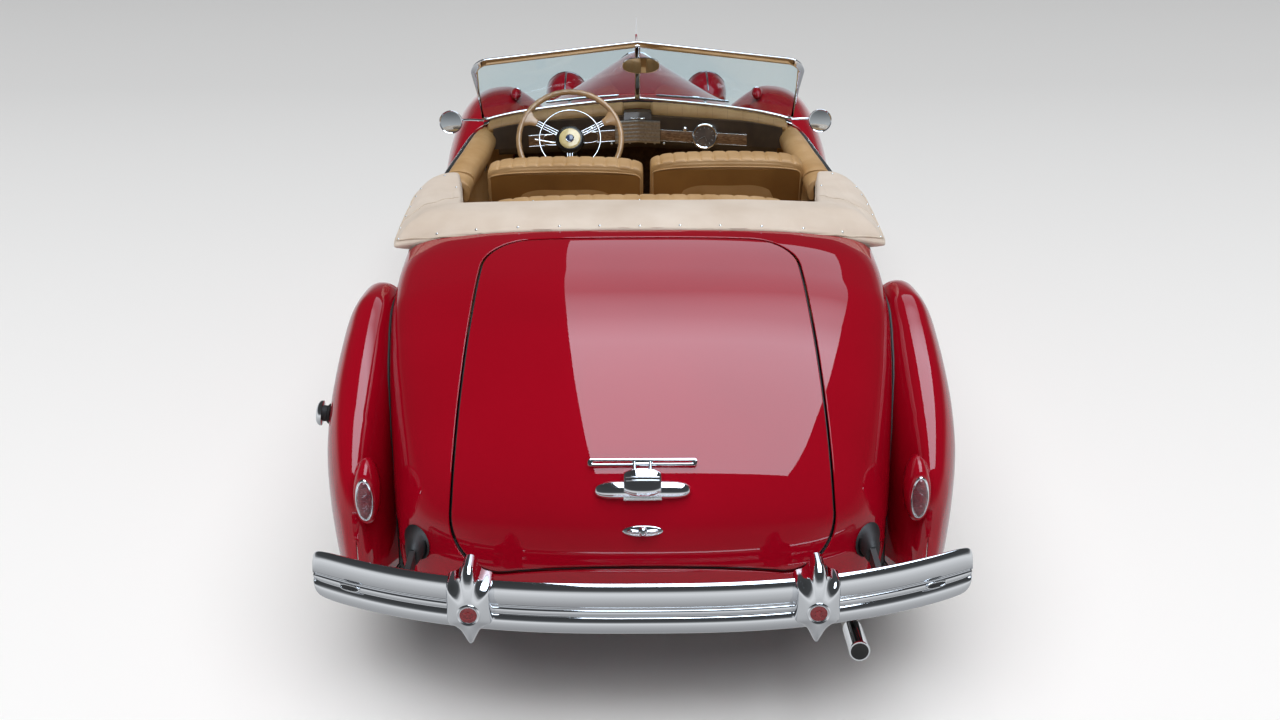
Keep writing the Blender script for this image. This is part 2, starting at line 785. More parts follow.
def make_bonnet_half():
    rows = []
    low = BONNET_LOW_SHARE * COWL_HEIGHT
    start, end = s_at(BONNET_FRONT_SHARE), s_at(BONNET_REAR_SHARE) - PANEL_GAP / 2
    for s in spread(start, end, 8):
        line = trimmed(body_section(s), COWL_HEIGHT, low)
        for point in line:
            point.x = max(point.x, PANEL_GAP / 2)
        rows.append(resample(line, 10))
    half = loft("bonnet_left", rows, RED_PAINT, closed=False, thickness=SHEET_THICKNESS)
    face_outwards(half, (0, FRONT_AXLE_Y, low))
    return mirrored(half, "bonnet_right")


DOOR_FOOT = 0.040


def make_door():
    """A closed leaf: outer skin, flat top and inner wall."""
    low, high = SILL_HEIGHT + DOOR_FOOT, BELT_HEIGHT
    start, end = s_at(DOOR_FRONT_SHARE), s_at(DOOR_REAR_SHARE)
    rings = []
    for s in spread(start, end, 8):
        line = resample(trimmed(body_section(s, 60), high, low), 8)
        inner_top = Vector((line[0].x - DOOR_TOP_THICKNESS, line[0].y, line[0].z))
        inner_low = Vector((line[-1].x - DOOR_THICKNESS, line[-1].y, line[-1].z))
        rings.append(line + [inner_low, inner_top])
    leaf = loft("door_left", rings, RED_PAINT)
    return mirrored(leaf, "door_right")


NOSE_LOW_SHARE = 0.440
NOSE_MIDDLE_SHARE = 0.700


def make_nose():
    rows = []
    low = NOSE_LOW_SHARE * COWL_HEIGHT
    for s in spread(0.0, s_at(BONNET_FRONT_SHARE) - PANEL_GAP, 11):
        line = body_section(s, 24)
        line = [p for p in line if p.z >= low] or line[:2]
        rows.append(half_to_whole(resample(line, 7)))
    shell = loft("nose_shell", rows, RED_PAINT, closed=False, thickness=SHEET_THICKNESS)
    face_outwards(shell, (0, FRONT_AXLE_Y, NOSE_MIDDLE_SHARE * COWL_HEIGHT))
    return baked(shell)


# Wings
def arch_edge(y, axle_y, low):
    """Height of the wheel opening's edge at a place along the car."""
    reach = TYRE_RADIUS * ARCH_LENGTH_SHARE
    away = abs(y - axle_y) / reach
    if away >= 1:
        return low
    centre = ARCH_CENTRE_SHARE * TYRE_RADIUS
    return max(low, centre + (ARCH_TOP_SHARE * TYRE_RADIUS - centre) * sqrt(1 - away**2))


ARCH_LENGTH_SHARE = 1.180
ARCH_CENTRE_SHARE = 0.700
ARCH_TOP_SHARE = 1.720

# Rear wing: place along, crown height from sill to cowl, hidden inner foot, crown and full half widths
REAR_WING_SHARES = (
    (0.8080, 0.0744, 0.760, 0.870, 0.900),
    (0.8200, 0.2020, 0.760, 0.872, 0.918),
    (0.8400, 0.3825, 0.760, 0.874, 0.938),
    (0.8750, 0.5793, 0.750, 0.876, 0.962),
    (0.9200, 0.7367, 0.740, 0.878, 0.984),
    (0.9650, 0.8127, 0.735, 0.880, 0.996),
    (1.0300, 0.8263, 0.735, 0.882, 1.000),
    (1.1600, 0.7829, 0.735, 0.884, 0.998),
    (1.2900, 0.7123, 0.740, 0.884, 0.992),
    (1.4000, 0.6336, 0.755, 0.880, 0.978),
    (1.4800, 0.5657, 0.772, 0.874, 0.956),
    (1.5500, 0.4870, 0.792, 0.866, 0.928),
    (1.5900, 0.4164, 0.808, 0.860, 0.906),
    (1.6150, 0.3282, 0.822, 0.856, 0.886),
    (1.6240, 0.2400, 0.834, 0.852, 0.870),
)
FLANK_POWER = 0.85
WING_FULL_HEIGHT_SHARE = 0.500
WING_FOOT_SHARE = 0.980
WING_LOW_SHARE = 0.700
FRONT_WING_LOW = 0.330
FOOT_STEPS = 4


def crown_at(share):
    """Height of a rear wing's crown, from the share of the rise from sill to cowl."""
    return SILL_HEIGHT + share * (COWL_HEIGHT - SILL_HEIGHT)


def wing_table(shares):
    return Table([y_at(row[0]) for row in shares], [row[1:] for row in shares])


def flank(crown, foot, steps=24):
    """A rounded line from a wing's crown out and down to a point below it."""
    (xc, zc), (xf, zf) = crown, foot
    line = []
    for i in range(steps + 1):
        angle = pi / 2 * i / steps
        across = xc + (xf - xc) * sin(angle) ** FLANK_POWER
        line.append((across, zf + (zc - zf) * max(cos(angle), 0) ** FLANK_POWER))
    return line


def outer_flank(y, crown, full, low):
    """The outer side of a wing, from its crown to its foot."""
    middle = min(WING_FULL_HEIGHT_SHARE * COWL_HEIGHT, low + WING_LOW_SHARE * (crown[1] - low))
    line = flank(crown, (full, middle))
    for step in range(1, FOOT_STEPS + 1):
        share = step / FOOT_STEPS
        across = full + (WING_FOOT_SHARE - 1) * full * share**2
        line.append((across, middle + (low - middle) * share))
    return [Vector((x, y, z)) for x, z in line]


def inner_flank(y, crown, foot):
    """The inner side of a rear wing, from its crown to where it meets the body."""
    line = [Vector((x, y, z)) for x, z in flank(crown, foot)]
    for i, (above, below) in enumerate(zip(line, line[1:])):
        if below.x < skin_x(y, below.z) + SEAM:
            low, high = 0.0, 1.0
            for _ in range(12):
                share = (low + high) / 2
                place = above.lerp(below, share)
                if place.x < skin_x(y, place.z) + SEAM:
                    high = share
                else:
                    low = share
            return line[: i + 1] + [above.lerp(below, low)]
    return line


def make_rear_wing(rows=21, inner_count=5, outer_count=7):
    table = wing_table(REAR_WING_SHARES)
    rings = []
    for y in wing_places(table.places[0], table.places[-1], rows):
        crown_height, foot, crown_half, full = table.at(y)
        crown = (crown_half * WING_HALF_WIDTH, crown_at(crown_height))
        inner = inner_flank(y, crown, (foot * WING_HALF_WIDTH, SILL_HEIGHT))
        outer = outer_flank(y, crown, full * WING_HALF_WIDTH, SILL_HEIGHT)
        outer = trimmed(outer, crown[1], arch_edge(y, REAR_AXLE_Y, SILL_HEIGHT))
        ring = list(reversed(resample(inner, inner_count))) + resample(outer, outer_count)[1:]
        rings.append(ring)
    ends = [point.x for point in rings[-1]]
    middle = (min(ends) + max(ends)) / 2
    cap = []
    for point in rings[-1]:
        across = middle + (point.x - middle) * TAIL_CAP_SHARE
        cap.append(Vector((across, point.y + SHEET_THICKNESS / 2, point.z - SEAM)))
    wing = loft("rear_wing_left", rings + [cap], RED_PAINT, closed=False, thickness=SHEET_THICKNESS)
    face_outwards(wing, (BODY_HALF_WIDTH, REAR_AXLE_Y, SILL_HEIGHT))
    wing = baked(wing)
    join(wing, make_lamp_pod())
    return mirrored(wing, "rear_wing_right")


TAIL_CAP_SHARE = 0.120


def wing_places(front, rear, count):
    """Rows closer together at both ends of the wing."""
    middle, reach = (front + rear) / 2, (rear - front) / 2
    return [middle - reach * cos(pi * i / (count - 1)) for i in range(count)]


# Front wing: place along, inner half width, inner height, valley height, crown height, full half width
FRONT_WING_SHARES = (
    (-0.720, 0.600, 0.400, 0.395, 0.430, 0.870),
    (-0.705, 0.480, 0.440, 0.435, 0.520, 0.915),
    (-0.680, 0.390, 0.470, 0.480, 0.590, 0.945),
    (-0.600, 0.270, 0.560, 0.560, 0.690, 0.972),
    (-0.450, 0.245, 0.640, 0.625, 0.770, 0.990),
    (-0.250, 0.310, 0.690, 0.650, 0.810, 1.000),
    (0.0000, 0.395, 0.695, 0.655, 0.822, 1.000),
    (0.0800, 0.470, 0.695, 0.655, 0.800, 0.996),
    (0.1600, 0.580, 0.695, 0.640, 0.735, 0.985),
    (0.2200, 0.660, 0.640, 0.590, 0.640, 0.970),
    (0.2800, 0.735, 0.520, 0.480, 0.510, 0.950),
    (0.3200, 0.790, 0.400, 0.370, 0.390, 0.930),
    (0.3440, 0.830, 0.310, 0.295, 0.305, 0.915),
)
CROWN_SHARE = 0.720
VALLEY_SHARE = 0.350


def front_wing_ring(y, table, inner_count, outer_count):
    """One section: a valley by the bonnet, an S-curve up to the crown and the outer side."""
    inner, edge, valley, crown_height, full = table.at(y)
    zi, zv, zc = edge * COWL_HEIGHT, valley * COWL_HEIGHT, crown_height * COWL_HEIGHT
    low = min(FRONT_WING_LOW, zv - 2 * SHEET_THICKNESS)
    skin = max(skin_x(y, zi), skin_x(y, zi - 3 * SHEET_THICKNESS))
    xi = max(inner * BODY_HALF_WIDTH, skin + PANEL_GAP + SEAM)
    xo = full * WING_HALF_WIDTH
    xc = max(CROWN_SHARE * WING_HALF_WIDTH, (xi + xo) / 2)
    xv = xi + VALLEY_SHARE * (xc - xi)
    line = []
    for share in spread(0, 1, 9)[:-1]:
        line.append(Vector((xi + (xv - xi) * share, y, zi + (zv - zi) * sin(pi / 2 * share))))
    for share in spread(0, 1, 21):
        line.append(Vector((xv + (xc - xv) * share, y, zv + (zc - zv) * (1 - cos(pi * share)) / 2)))
    outer = outer_flank(y, (xc, zc), xo, low)
    outer = trimmed(outer, zc, arch_edge(y, FRONT_AXLE_Y, low))
    return resample(line, inner_count) + resample(outer, outer_count)[1:]


def make_front_wing(rows=20, inner_count=7, outer_count=7):
    table = wing_table(FRONT_WING_SHARES)
    rings = []
    for y in wing_places(table.places[0], table.places[-1], rows):
        rings.append(front_wing_ring(y, table, inner_count, outer_count))
    wing = loft("front_wing_left", rings, RED_PAINT, closed=False, thickness=SHEET_THICKNESS)
    face_outwards(wing, (BODY_HALF_WIDTH, FRONT_AXLE_Y, SILL_HEIGHT))
    wing = baked(wing)
    join(wing, make_parking_lamp(table))
    return mirrored(wing, "front_wing_right")


# Small bullet lamp on each front wing's crown: radius and along, as shares of its radius
PARKING_X_SHARE = 0.6508
PARKING_X = PARKING_X_SHARE * WING_HALF_WIDTH
PARKING_Y_SHARE = -0.023
PARKING_RADIUS = 0.030
BULLET_SHARES = (
    (0.0, 1.30), (0.55, 1.10), (0.90, 0.60), (1.0, 0.0), (0.86, -1.30), (0.50, -2.50), (0.0, -3.10),
)


def wing_top(x, y, table):
    """Height of the front wing's upper side at a place."""
    ring = front_wing_ring(y, table, 40, 40)
    for a, b in zip(ring, ring[1:]):
        if a.x <= x <= b.x:
            return a.z + (b.z - a.z) * (x - a.x) / max(b.x - a.x, CONTACT_GAP)
    return ring[0].z


def make_parking_lamp(table):
    y = y_at(PARKING_Y_SHARE)
    r = PARKING_RADIUS
    profile = [(radius * r, along * r) for radius, along in BULLET_SHARES]
    centre = (PARKING_X, y, wing_top(PARKING_X, y, table) + r / 2)
    return turned("parking_lamp", profile, centre, (0, -1, 0), RED_PAINT, 12)


# Apron between the front wings, under the nose: place along, and height in the middle
APRON_SHARES = (
    (-0.4340, 0.548),
    (-0.5000, 0.548),
    (-0.6000, 0.545),
    (-0.6500, 0.515),
    (-0.6900, 0.470),
    (-0.7140, 0.420),
    (-0.7240, 0.360),
    (-0.7240, 0.290),
)
APRON_FLAT_SHARE = 0.145
IRON_SLOT = 0.014


def make_apron():
    wing = wing_table(FRONT_WING_SHARES)
    rings = []
    for along, height in APRON_SHARES:
        y = y_at(along)
        inner, edge = wing.at(max(y, wing.places[0]))[:2]
        half = inner * BODY_HALF_WIDTH - 2 * RUNNING_CLEARANCE
        flat = APRON_FLAT_SHARE * BODY_HALF_WIDTH
        low = height * COWL_HEIGHT
        high = max(edge * COWL_HEIGHT - SEAM, low) if along > APRON_SHARES[-3][0] else low
        ring = []
        for x in spread(-half, half, 9):
            lift = min(max((abs(x) - flat) / max(half - flat, SEAM), 0), 1)
            ring.append(Vector((x, y, low + (high - low) * lift**2)))
        rings.append(ring)
    apron = loft("front_apron", rings, RED_PAINT, closed=False, thickness=SHEET_THICKNESS)
    face_outwards(apron, (0, y_at(APRON_SHARES[0][0]), 0))
    apron = baked(apron)
    for side in (-1, 1):
        size = (IRON_THICKNESS + 2 * IRON_SLOT, FRONT_OVERHANG / 2, IRON_DEPTH + 2 * IRON_SLOT)
        centre = (side * FRONT_IRON_HALF, y_at(APRON_SHARES[-1][0]), BUMPER_HEIGHT)
        cut(apron, box(f"iron_slot_{side}", centre, size, RED_PAINT))
    return baked(apron)


# Running boards
BOARD_DEPTH = 0.030
BOARD_EDGE = 0.012
BOARD_REACH_SHARE = 0.930
BOARD_ARM_SHARES = (0.15, 0.50, 0.85)
BOARD_ARM_DROP_SHARE = 0.600


def make_running_board():
    front = y_at(FRONT_WING_SHARES[-1][0]) + PANEL_GAP
    rear = y_at(REAR_WING_SHARES[0][0]) - PANEL_GAP
    inner = BODY_HALF_WIDTH + SEAM
    outer = BOARD_REACH_SHARE * WING_HALF_WIDTH
    centre = ((inner + outer) / 2, (front + rear) / 2, SILL_HEIGHT - BOARD_DEPTH / 2)
    size = (outer - inner, rear - front, BOARD_DEPTH)
    board = box("running_board_left", centre, size, FRAME_BLACK, BOARD_EDGE)
    for share in BOARD_ARM_SHARES:
        place = front + share * (rear - front)
        arm = box(
            f"board_arm_{share}",
            (
                (RAIL_INNER_HALF + RAIL_WIDTH + inner) / 2 + BOARD_EDGE,
                place,
                SILL_HEIGHT - BOARD_ARM_DROP_SHARE * BOARD_DEPTH,
            ),
            (inner - RAIL_INNER_HALF - RAIL_WIDTH - BOARD_EDGE, 2 * BOARD_DEPTH, BOARD_DEPTH / 2),
            FRAME_BLACK,
        )
        join(board, arm)
    return mirrored(board, "running_board_right")


# Chassis: a ladder that kicks up over the rear axle
RAIL_FRONT_SHARE = -0.620
RAIL_REAR_SHARE = 1.640
CROSS_WIDTH = 0.060
FRONT_RISE = 0.060
FRONT_RISE_TOP_SHARE = 0.600
RAIL_FLAT_SHARE = 0.140
KICK_LOW_SHARES = (0.860, 0.905)
KICK_HIGH_SHARES = (0.880, 0.835)
FRONT_CROSS_SHARE = -0.585
MIDDLE_CROSS_SHARE = 0.330
TANK_CROSS_SHARE = 1.330
TAIL_CROSS_SHARE = 1.600


def rail_outline():
    low = SILL_HEIGHT
    high = RAIL_TOP
    kick_low = low + KICK_UP
    return (
        (y_at(RAIL_FRONT_SHARE), low + FRONT_RISE),
        (y_at(RAIL_FLAT_SHARE), low),
        (y_at(KICK_LOW_SHARES[0]), low),
        (y_at(KICK_LOW_SHARES[1]), kick_low),
        (y_at(RAIL_REAR_SHARE), kick_low),
        (y_at(RAIL_REAR_SHARE), high + KICK_UP - CONTACT_GAP),
        (y_at(KICK_HIGH_SHARES[0]), high + KICK_UP - CONTACT_GAP),
        (y_at(KICK_HIGH_SHARES[1]), high),
        (y_at(RAIL_FLAT_SHARE), high),
        (y_at(RAIL_FRONT_SHARE), high + FRONT_RISE_TOP_SHARE * FRONT_RISE),
    )


def make_chassis():
    inner, outer = RAIL_INNER_HALF, RAIL_INNER_HALF + RAIL_WIDTH
    frame = side_plate("chassis_frame", rail_outline(), inner, outer, FRAME_BLACK)
    join(frame, side_plate("right_rail", rail_outline(), -outer, -inner, FRAME_BLACK))
    wide = 2 * inner + RAIL_WIDTH
    crosses = (
        (FRONT_CROSS_SHARE, FRONT_RISE),
        (MIDDLE_CROSS_SHARE, 0),
        (TANK_CROSS_SHARE, KICK_UP),
        (TAIL_CROSS_SHARE, KICK_UP),
    )
    tail = y_at(TAIL_CROSS_SHARE)
    for share, lift in crosses:
        beam = box(
            f"cross_{share}",
            (0, y_at(share), SILL_HEIGHT + lift + RAIL_DEPTH / 2),
            (wide, CROSS_WIDTH, RAIL_DEPTH / 2),
            FRAME_BLACK,
        )
        join(frame, beam)
    for side in (-1, 1):
        arm = box(
            f"rear_outrigger_{side}",
            (side * (inner + IRON_HALF) / 2, tail, IRON_HEIGHT),
            (IRON_HALF - inner + 2 * IRON_THICKNESS, CROSS_WIDTH, IRON_DEPTH),
            FRAME_BLACK,
        )
        join(frame, arm)
        iron = box(
            f"rear_iron_{side}",
            (side * IRON_HALF, (tail + BUMPER_IRON_Y) / 2, IRON_HEIGHT),
            (IRON_THICKNESS, BUMPER_IRON_Y - tail, IRON_DEPTH),
            FRAME_BLACK,
        )
        join(frame, iron)
        horn_end = y_at(RAIL_FRONT_SHARE) + CROSS_WIDTH
        horn = box(
            f"front_iron_{side}",
            (side * FRONT_IRON_HALF, (horn_end + FRONT_IRON_Y) / 2, BUMPER_HEIGHT),
            (IRON_THICKNESS, horn_end - FRONT_IRON_Y, IRON_DEPTH),
            FRAME_BLACK,
        )
        join(frame, horn)
        riser_low = SILL_HEIGHT + FRONT_RISE
        riser = box(
            f"front_riser_{side}",
            (
                side * FRONT_IRON_HALF,
                y_at(RAIL_FRONT_SHARE) + CROSS_WIDTH / 2,
                (riser_low + BUMPER_HEIGHT) / 2,
            ),
            (RAIL_WIDTH, CROSS_WIDTH, BUMPER_HEIGHT - riser_low + IRON_DEPTH),
            FRAME_BLACK,
        )
        join(frame, riser)
    return baked(frame)


IRON_THICKNESS = 0.016
IRON_DEPTH = 0.044


# Bumpers: curved blades with two guards each
BLADE_DEPTH = 0.150
BLADE_THICKNESS = 0.026
BUMPER_HEIGHT = 0.505
BUMPER_INSET = 0.060
BUMPER_HALF = WING_HALF_WIDTH - BUMPER_INSET
BUMPER_SWEEP = 0.200
SWEEP_POWER = 2.6
GUARD_HALF_SHARE = 0.5785
GUARD_HALF = GUARD_HALF_SHARE * BODY_HALF_WIDTH
GUARD_WIDTH = 0.130
GUARD_HEIGHT = 0.235
GUARD_DEPTH = 0.062
GUARD_LIFT = 0.015


# Guard's outline from its top round one side to its lower point, as shares of its half sizes
GUARD_SHARES = (
    (0.0, 1.0), (0.20, 0.93), (0.36, 0.62), (0.56, 0.44), (0.86, 0.42), (1.0, 0.22), (0.98, -0.20),
    (0.72, -0.38), (0.42, -0.62), (0.14, -0.96), (0.0, -1.0),
)


def blade_back(x, face):
    """How far in from the guards' faces the blade lies at a place across the car."""
    return face + BLADE_INSET + BUMPER_SWEEP * (abs(x) / BUMPER_HALF) ** SWEEP_POWER


BLADE_INSET = 0.022
FRONT_IRON_SHARE = 0.3671
FRONT_IRON_HALF = FRONT_IRON_SHARE * BODY_HALF_WIDTH
BUMPER_IRON_Y = REAR_Y - blade_back(IRON_HALF, 0) - BLADE_THICKNESS - SEAM
FRONT_IRON_Y = FRONT_Y + blade_back(FRONT_IRON_HALF, 0) + BLADE_THICKNESS + SEAM

# The blade's section, out and up, and a guard's depth and size from its face inwards
BLADE_SHARES = (
    (0.0, -1.0), (0.55, -0.94), (0.90, -0.60), (1.0, 0.0), (0.90, 0.60), (0.55, 0.94),
    (0.0, 1.0), (-0.25, 0.90), (0.10, 0.50), (0.20, 0.0), (0.10, -0.50), (-0.25, -0.90),
)
GUARD_FACE_SHARES = ((0.0, 0.80), (0.16, 0.93), (0.48, 1.0), (1.65, 1.0))
BLADE_TIP_SHARE = 0.55
BLADE_TIP_POWER = 14


def make_bumper(name, side, face):
    """Side is 1 at the rear and -1 at the front; face is the guards' outermost place."""
    rings = []
    for t in spread(-1, 1, 15):
        x = BUMPER_HALF * sin(pi / 2 * t)
        back = blade_back(x, 0)
        size = 1 - BLADE_TIP_SHARE * abs(t) ** BLADE_TIP_POWER
        ring = []
        for out, up in BLADE_SHARES:
            y = face - side * (back + BLADE_THICKNESS * (1 - out))
            ring.append(Vector((x, y, BUMPER_HEIGHT + up * size * BLADE_DEPTH / 2)))
        rings.append(ring)
    blade = loft(name, rings, CHROME)
    outline = GUARD_SHARES + tuple((-across, up) for across, up in reversed(GUARD_SHARES[1:-1]))
    for x in (-GUARD_HALF, GUARD_HALF):
        guard = []
        for depth, size in GUARD_FACE_SHARES:
            y = face - side * depth * GUARD_DEPTH
            ring = []
            for across, up in outline:
                high = BUMPER_HEIGHT + GUARD_LIFT + up * size * GUARD_HEIGHT / 2
                ring.append(Vector((x + across * size * GUARD_WIDTH / 2, y, high)))
            guard.append(ring)
        join(blade, loft(f"{name}_guard_{x:.1f}", guard, CHROME))
    return baked(blade)


# Floor, with a kick-up over the axle, and a sill under each door
SILL_DEPTH = 0.032
SILL_WEB = 0.045
FLOOR_REAR_SHARE = 1.660
FLOOR_KICK_SHARES = (0.835, 0.880)
FLOOR_TOP_KICK_SHARES = (0.828, 0.873)
TOEBOARD_SHARE = 0.380
TOEBOARD_TOP_SHARE = 0.384
FLOOR_WIDE_SHARE = 1.400
FLOOR_CORNER = (0.810, 1.550)
FLOOR_TAIL_SHARE = 0.630


def low_half(y):
    """Half width of the body at the sill."""
    return BODY.at(s_at_y(y))[3] - SILL_TUCK_SHARE * BODY_HALF_WIDTH


def floor_half(y):
    return low_half(y) - DOOR_THICKNESS - DOOR_SWING_CLEARANCE


def make_floor():
    low, high = FLOOR_BOTTOM, FLOOR_BOTTOM + KICK_UP
    t = FLOOR_THICKNESS
    front = y_at(BONNET_REAR_SHARE) + PANEL_GAP + 2 * FIREWALL_THICKNESS
    rear = y_at(FLOOR_REAR_SHARE)
    outline = (
        (front, low + KICK_UP),
        (y_at(TOEBOARD_SHARE), low),
        (y_at(FLOOR_KICK_SHARES[0]), low),
        (y_at(FLOOR_KICK_SHARES[1]), high),
        (rear, high),
        (rear, high + t),
        (y_at(FLOOR_TOP_KICK_SHARES[1]), high + t),
        (y_at(FLOOR_TOP_KICK_SHARES[0]), low + t),
        (y_at(TOEBOARD_TOP_SHARE), low + t),
        (front, low + KICK_UP + t),
    )
    floor = side_plate("floor_pan", outline, -BODY_HALF_WIDTH, BODY_HALF_WIDTH, FRAME_BLACK)
    door_rear = y_at(DOOR_REAR_SHARE)
    corner_half, corner_along = FLOOR_CORNER
    plan = [(floor_half(y), y) for y in spread(front - OVERRUN, door_rear, 6)]
    plan += [(floor_half(door_rear), y_at(FLOOR_WIDE_SHARE))]
    plan += [(corner_half * BODY_HALF_WIDTH, y_at(corner_along))]
    plan += [(FLOOR_TAIL_SHARE * BODY_HALF_WIDTH, rear + OVERRUN)]
    plan += [(-x, y) for x, y in reversed(plan)]
    boolean(floor, plate("floor_plan", plan, 4 * high, Matrix(), FRAME_BLACK), "INTERSECT")
    for side in (-1, 1):
        cut(floor, wheelhouse_cylinder(f"floor_arch_{side}", side, WHEELHOUSE_RADIUS + SEAM))
        rings = []
        for y in spread(y_at(DOOR_FRONT_SHARE) + PANEL_GAP, y_at(DOOR_REAR_SHARE) - PANEL_GAP, 6):
            inner = floor_half(y) - SEAM
            outer = low_half(y) - 2 * PANEL_GAP
            top = SILL_HEIGHT + SILL_DEPTH
            ring = (
                (inner - SILL_WEB, SILL_HEIGHT), (outer, SILL_HEIGHT), (outer, top), (inner, top),
                (inner, low + t / 2), (inner - SILL_WEB, low + t / 2),
            )
            rings.append([Vector((side * x, y, z)) for x, z in ring])
        join(floor, loft(f"sill_{side}", rings, FRAME_BLACK))
    return baked(floor)


WHEELHOUSE_OUTER_SHARE = 0.930


def make_wheelhouse():
    inner_x = WHEELHOUSE_INNER
    outer_x = WHEELHOUSE_OUTER_SHARE * BODY_HALF_WIDTH
    drum = cylinder(
        "wheelhouse_left",
        (inner_x + SEAM, REAR_AXLE_Y, TYRE_RADIUS),
        (outer_x, REAR_AXLE_Y, TYRE_RADIUS),
        WHEELHOUSE_RADIUS,
        FRAME_BLACK,
        32,
    )
    hollow = cylinder(
        "wheelhouse_hollow",
        (inner_x + SEAM + SHEET_THICKNESS, REAR_AXLE_Y, TYRE_RADIUS),
        (outer_x + OVERRUN, REAR_AXLE_Y, TYRE_RADIUS),
        WHEELHOUSE_RADIUS - SHEET_THICKNESS,
        FRAME_BLACK,
        32,
    )
    cut(drum, hollow)
    below = box(
        "wheelhouse_below",
        (outer_x, REAR_AXLE_Y, FLOOR_BOTTOM + KICK_UP - TYRE_RADIUS),
        (BODY_HALF_WIDTH, 3 * TYRE_RADIUS, 2 * TYRE_RADIUS),
        FRAME_BLACK,
    )
    cut(drum, below)
    return mirrored(drum, "wheelhouse_right")


# Windscreen: a V of two flat panes in a chrome frame
POST_RADIUS = 0.012
GLASS_THICKNESS = 0.005
BASE_SHARE = 0.3508
TOP_SHARE = 0.4290
BASE_SIDE_SHARE = 0.4170
SCREEN_RISE = 0.300
SCREEN_BASE_SHARE = 0.8405
SCREEN_TOP_SHARE = 0.8532
SCREEN_BASE_HALF = SCREEN_BASE_SHARE * BODY_HALF_WIDTH
SCREEN_TOP_HALF = SCREEN_TOP_SHARE * BODY_HALF_WIDTH
SCREEN_TOP_DROP = 0.034
BASE_SEARCH_SHARE = 0.100
BASE_LIFT_SHARE = 1.150
CENTRE_POST_SHARE = 0.900
STALK_SHARE = 0.500
MIRROR_RADIUS = 0.050
MIRROR_SHARES = ((0.0, 0.60), (0.6, 0.48), (1.0, 0.12), (1.0, 0.0), (0.0, 0.0))
MIRROR_SEAT = 0.004
MIRROR_X_SHARE = 1.0177
MIRROR_X = MIRROR_X_SHARE * BODY_HALF_WIDTH
MIRROR_DROP = 0.028
MIRROR_HEIGHT = COWL_HEIGHT - MIRROR_DROP
INSIDE_MIRROR_HALF = 0.078
INSIDE_MIRROR_DEPTH = 0.016
INSIDE_MIRROR_TALL = 0.055
INSIDE_MIRROR_EDGE = 0.006
INSIDE_MIRROR_REACH = 0.090
INSIDE_MIRROR_SHARE = 0.680
STEM_SHARE = 0.740


def screen_plane():
    """A point, and the directions along and up one pane."""
    centre = Vector((0, y_at(BASE_SHARE), skin_z(0, y_at(BASE_SHARE))))
    top = Vector((0, y_at(TOP_SHARE), centre.z + SCREEN_RISE))
    side_y = y_at(BASE_SIDE_SHARE)
    side = Vector((SCREEN_BASE_HALF, side_y, skin_z(SCREEN_BASE_HALF, side_y)))
    up = (top - centre).normalized()
    normal = (side - centre).cross(up).normalized()
    return centre, top, side, up, normal


def screen_base(count):
    """Where the pane's plane meets the cowl, from the centre outwards."""
    centre, _, side, up, normal = screen_plane()
    lift = POST_RADIUS + 3 * CONTACT_GAP
    points = []
    for x in spread(0, SCREEN_BASE_HALF, count):
        share = x / SCREEN_BASE_HALF
        line = centre.lerp(side, share)
        low, high = -BASE_SEARCH_SHARE * COWL_HEIGHT, BASE_SEARCH_SHARE * COWL_HEIGHT
        for _ in range(30):
            middle = (low + high) / 2
            place = line + up * middle
            if place.z < skin_z(place.x, place.y) + lift / up.z * BASE_LIFT_SHARE:
                low = middle
            else:
                high = middle
        points.append(line + up * high)
    return points


def screen_top():
    centre, top, side, up, normal = screen_plane()
    corner = Vector((SCREEN_TOP_HALF, 0, top.z - SCREEN_TOP_DROP))
    corner.y = centre.y + (-(corner.x - centre.x) * normal.x - (corner.z - centre.z) * normal.z) / normal.y
    return top, corner


def make_windscreen():
    base = screen_base(6)
    top, corner = screen_top()
    left = base[1:] + [corner]
    right = [Vector((-p.x, p.y, p.z)) for p in reversed(left)]
    loop = [base[0]] + left + [top] + right
    frame = tube("windscreen_frame", loop, POST_RADIUS, CHROME, closed=True)
    up = (top - base[0]).normalized()
    line = [base[0] - up * SEAM, top + up * SEAM]
    post = tube("centre_post", line, CENTRE_POST_SHARE * POST_RADIUS, CHROME)
    join(frame, post)
    for side in (-1, 1):
        root = Vector((side * base[-1].x, base[-1].y, base[-1].z))
        head = Vector((side * MIRROR_X, root.y, MIRROR_HEIGHT))
        line = [root, head + Vector((0, SEAM, 0))]
        join(frame, tube(f"stalk_{side}", line, STALK_SHARE * POST_RADIUS, CHROME))
        profile = [(radius * MIRROR_RADIUS, along * MIRROR_RADIUS) for radius, along in MIRROR_SHARES]
        place = head + Vector((0, MIRROR_SEAT, 0))
        join(frame, turned(f"mirror_{side}", profile, place, (0, -1, 0), CHROME, 16))
    centre = base[0].lerp(top, INSIDE_MIRROR_SHARE) + Vector((0, INSIDE_MIRROR_REACH, 0))
    size = (2 * INSIDE_MIRROR_HALF, INSIDE_MIRROR_DEPTH, INSIDE_MIRROR_TALL)
    glass = box("inside_mirror", centre, size, CHROME, INSIDE_MIRROR_EDGE)
    line = [base[0].lerp(top, STEM_SHARE), centre]
    stem = tube("mirror_stem", line, STALK_SHARE * POST_RADIUS, CHROME)
    join(frame, stem)
    join(frame, glass)
    baked(frame)
    make_panes(base, top, corner)


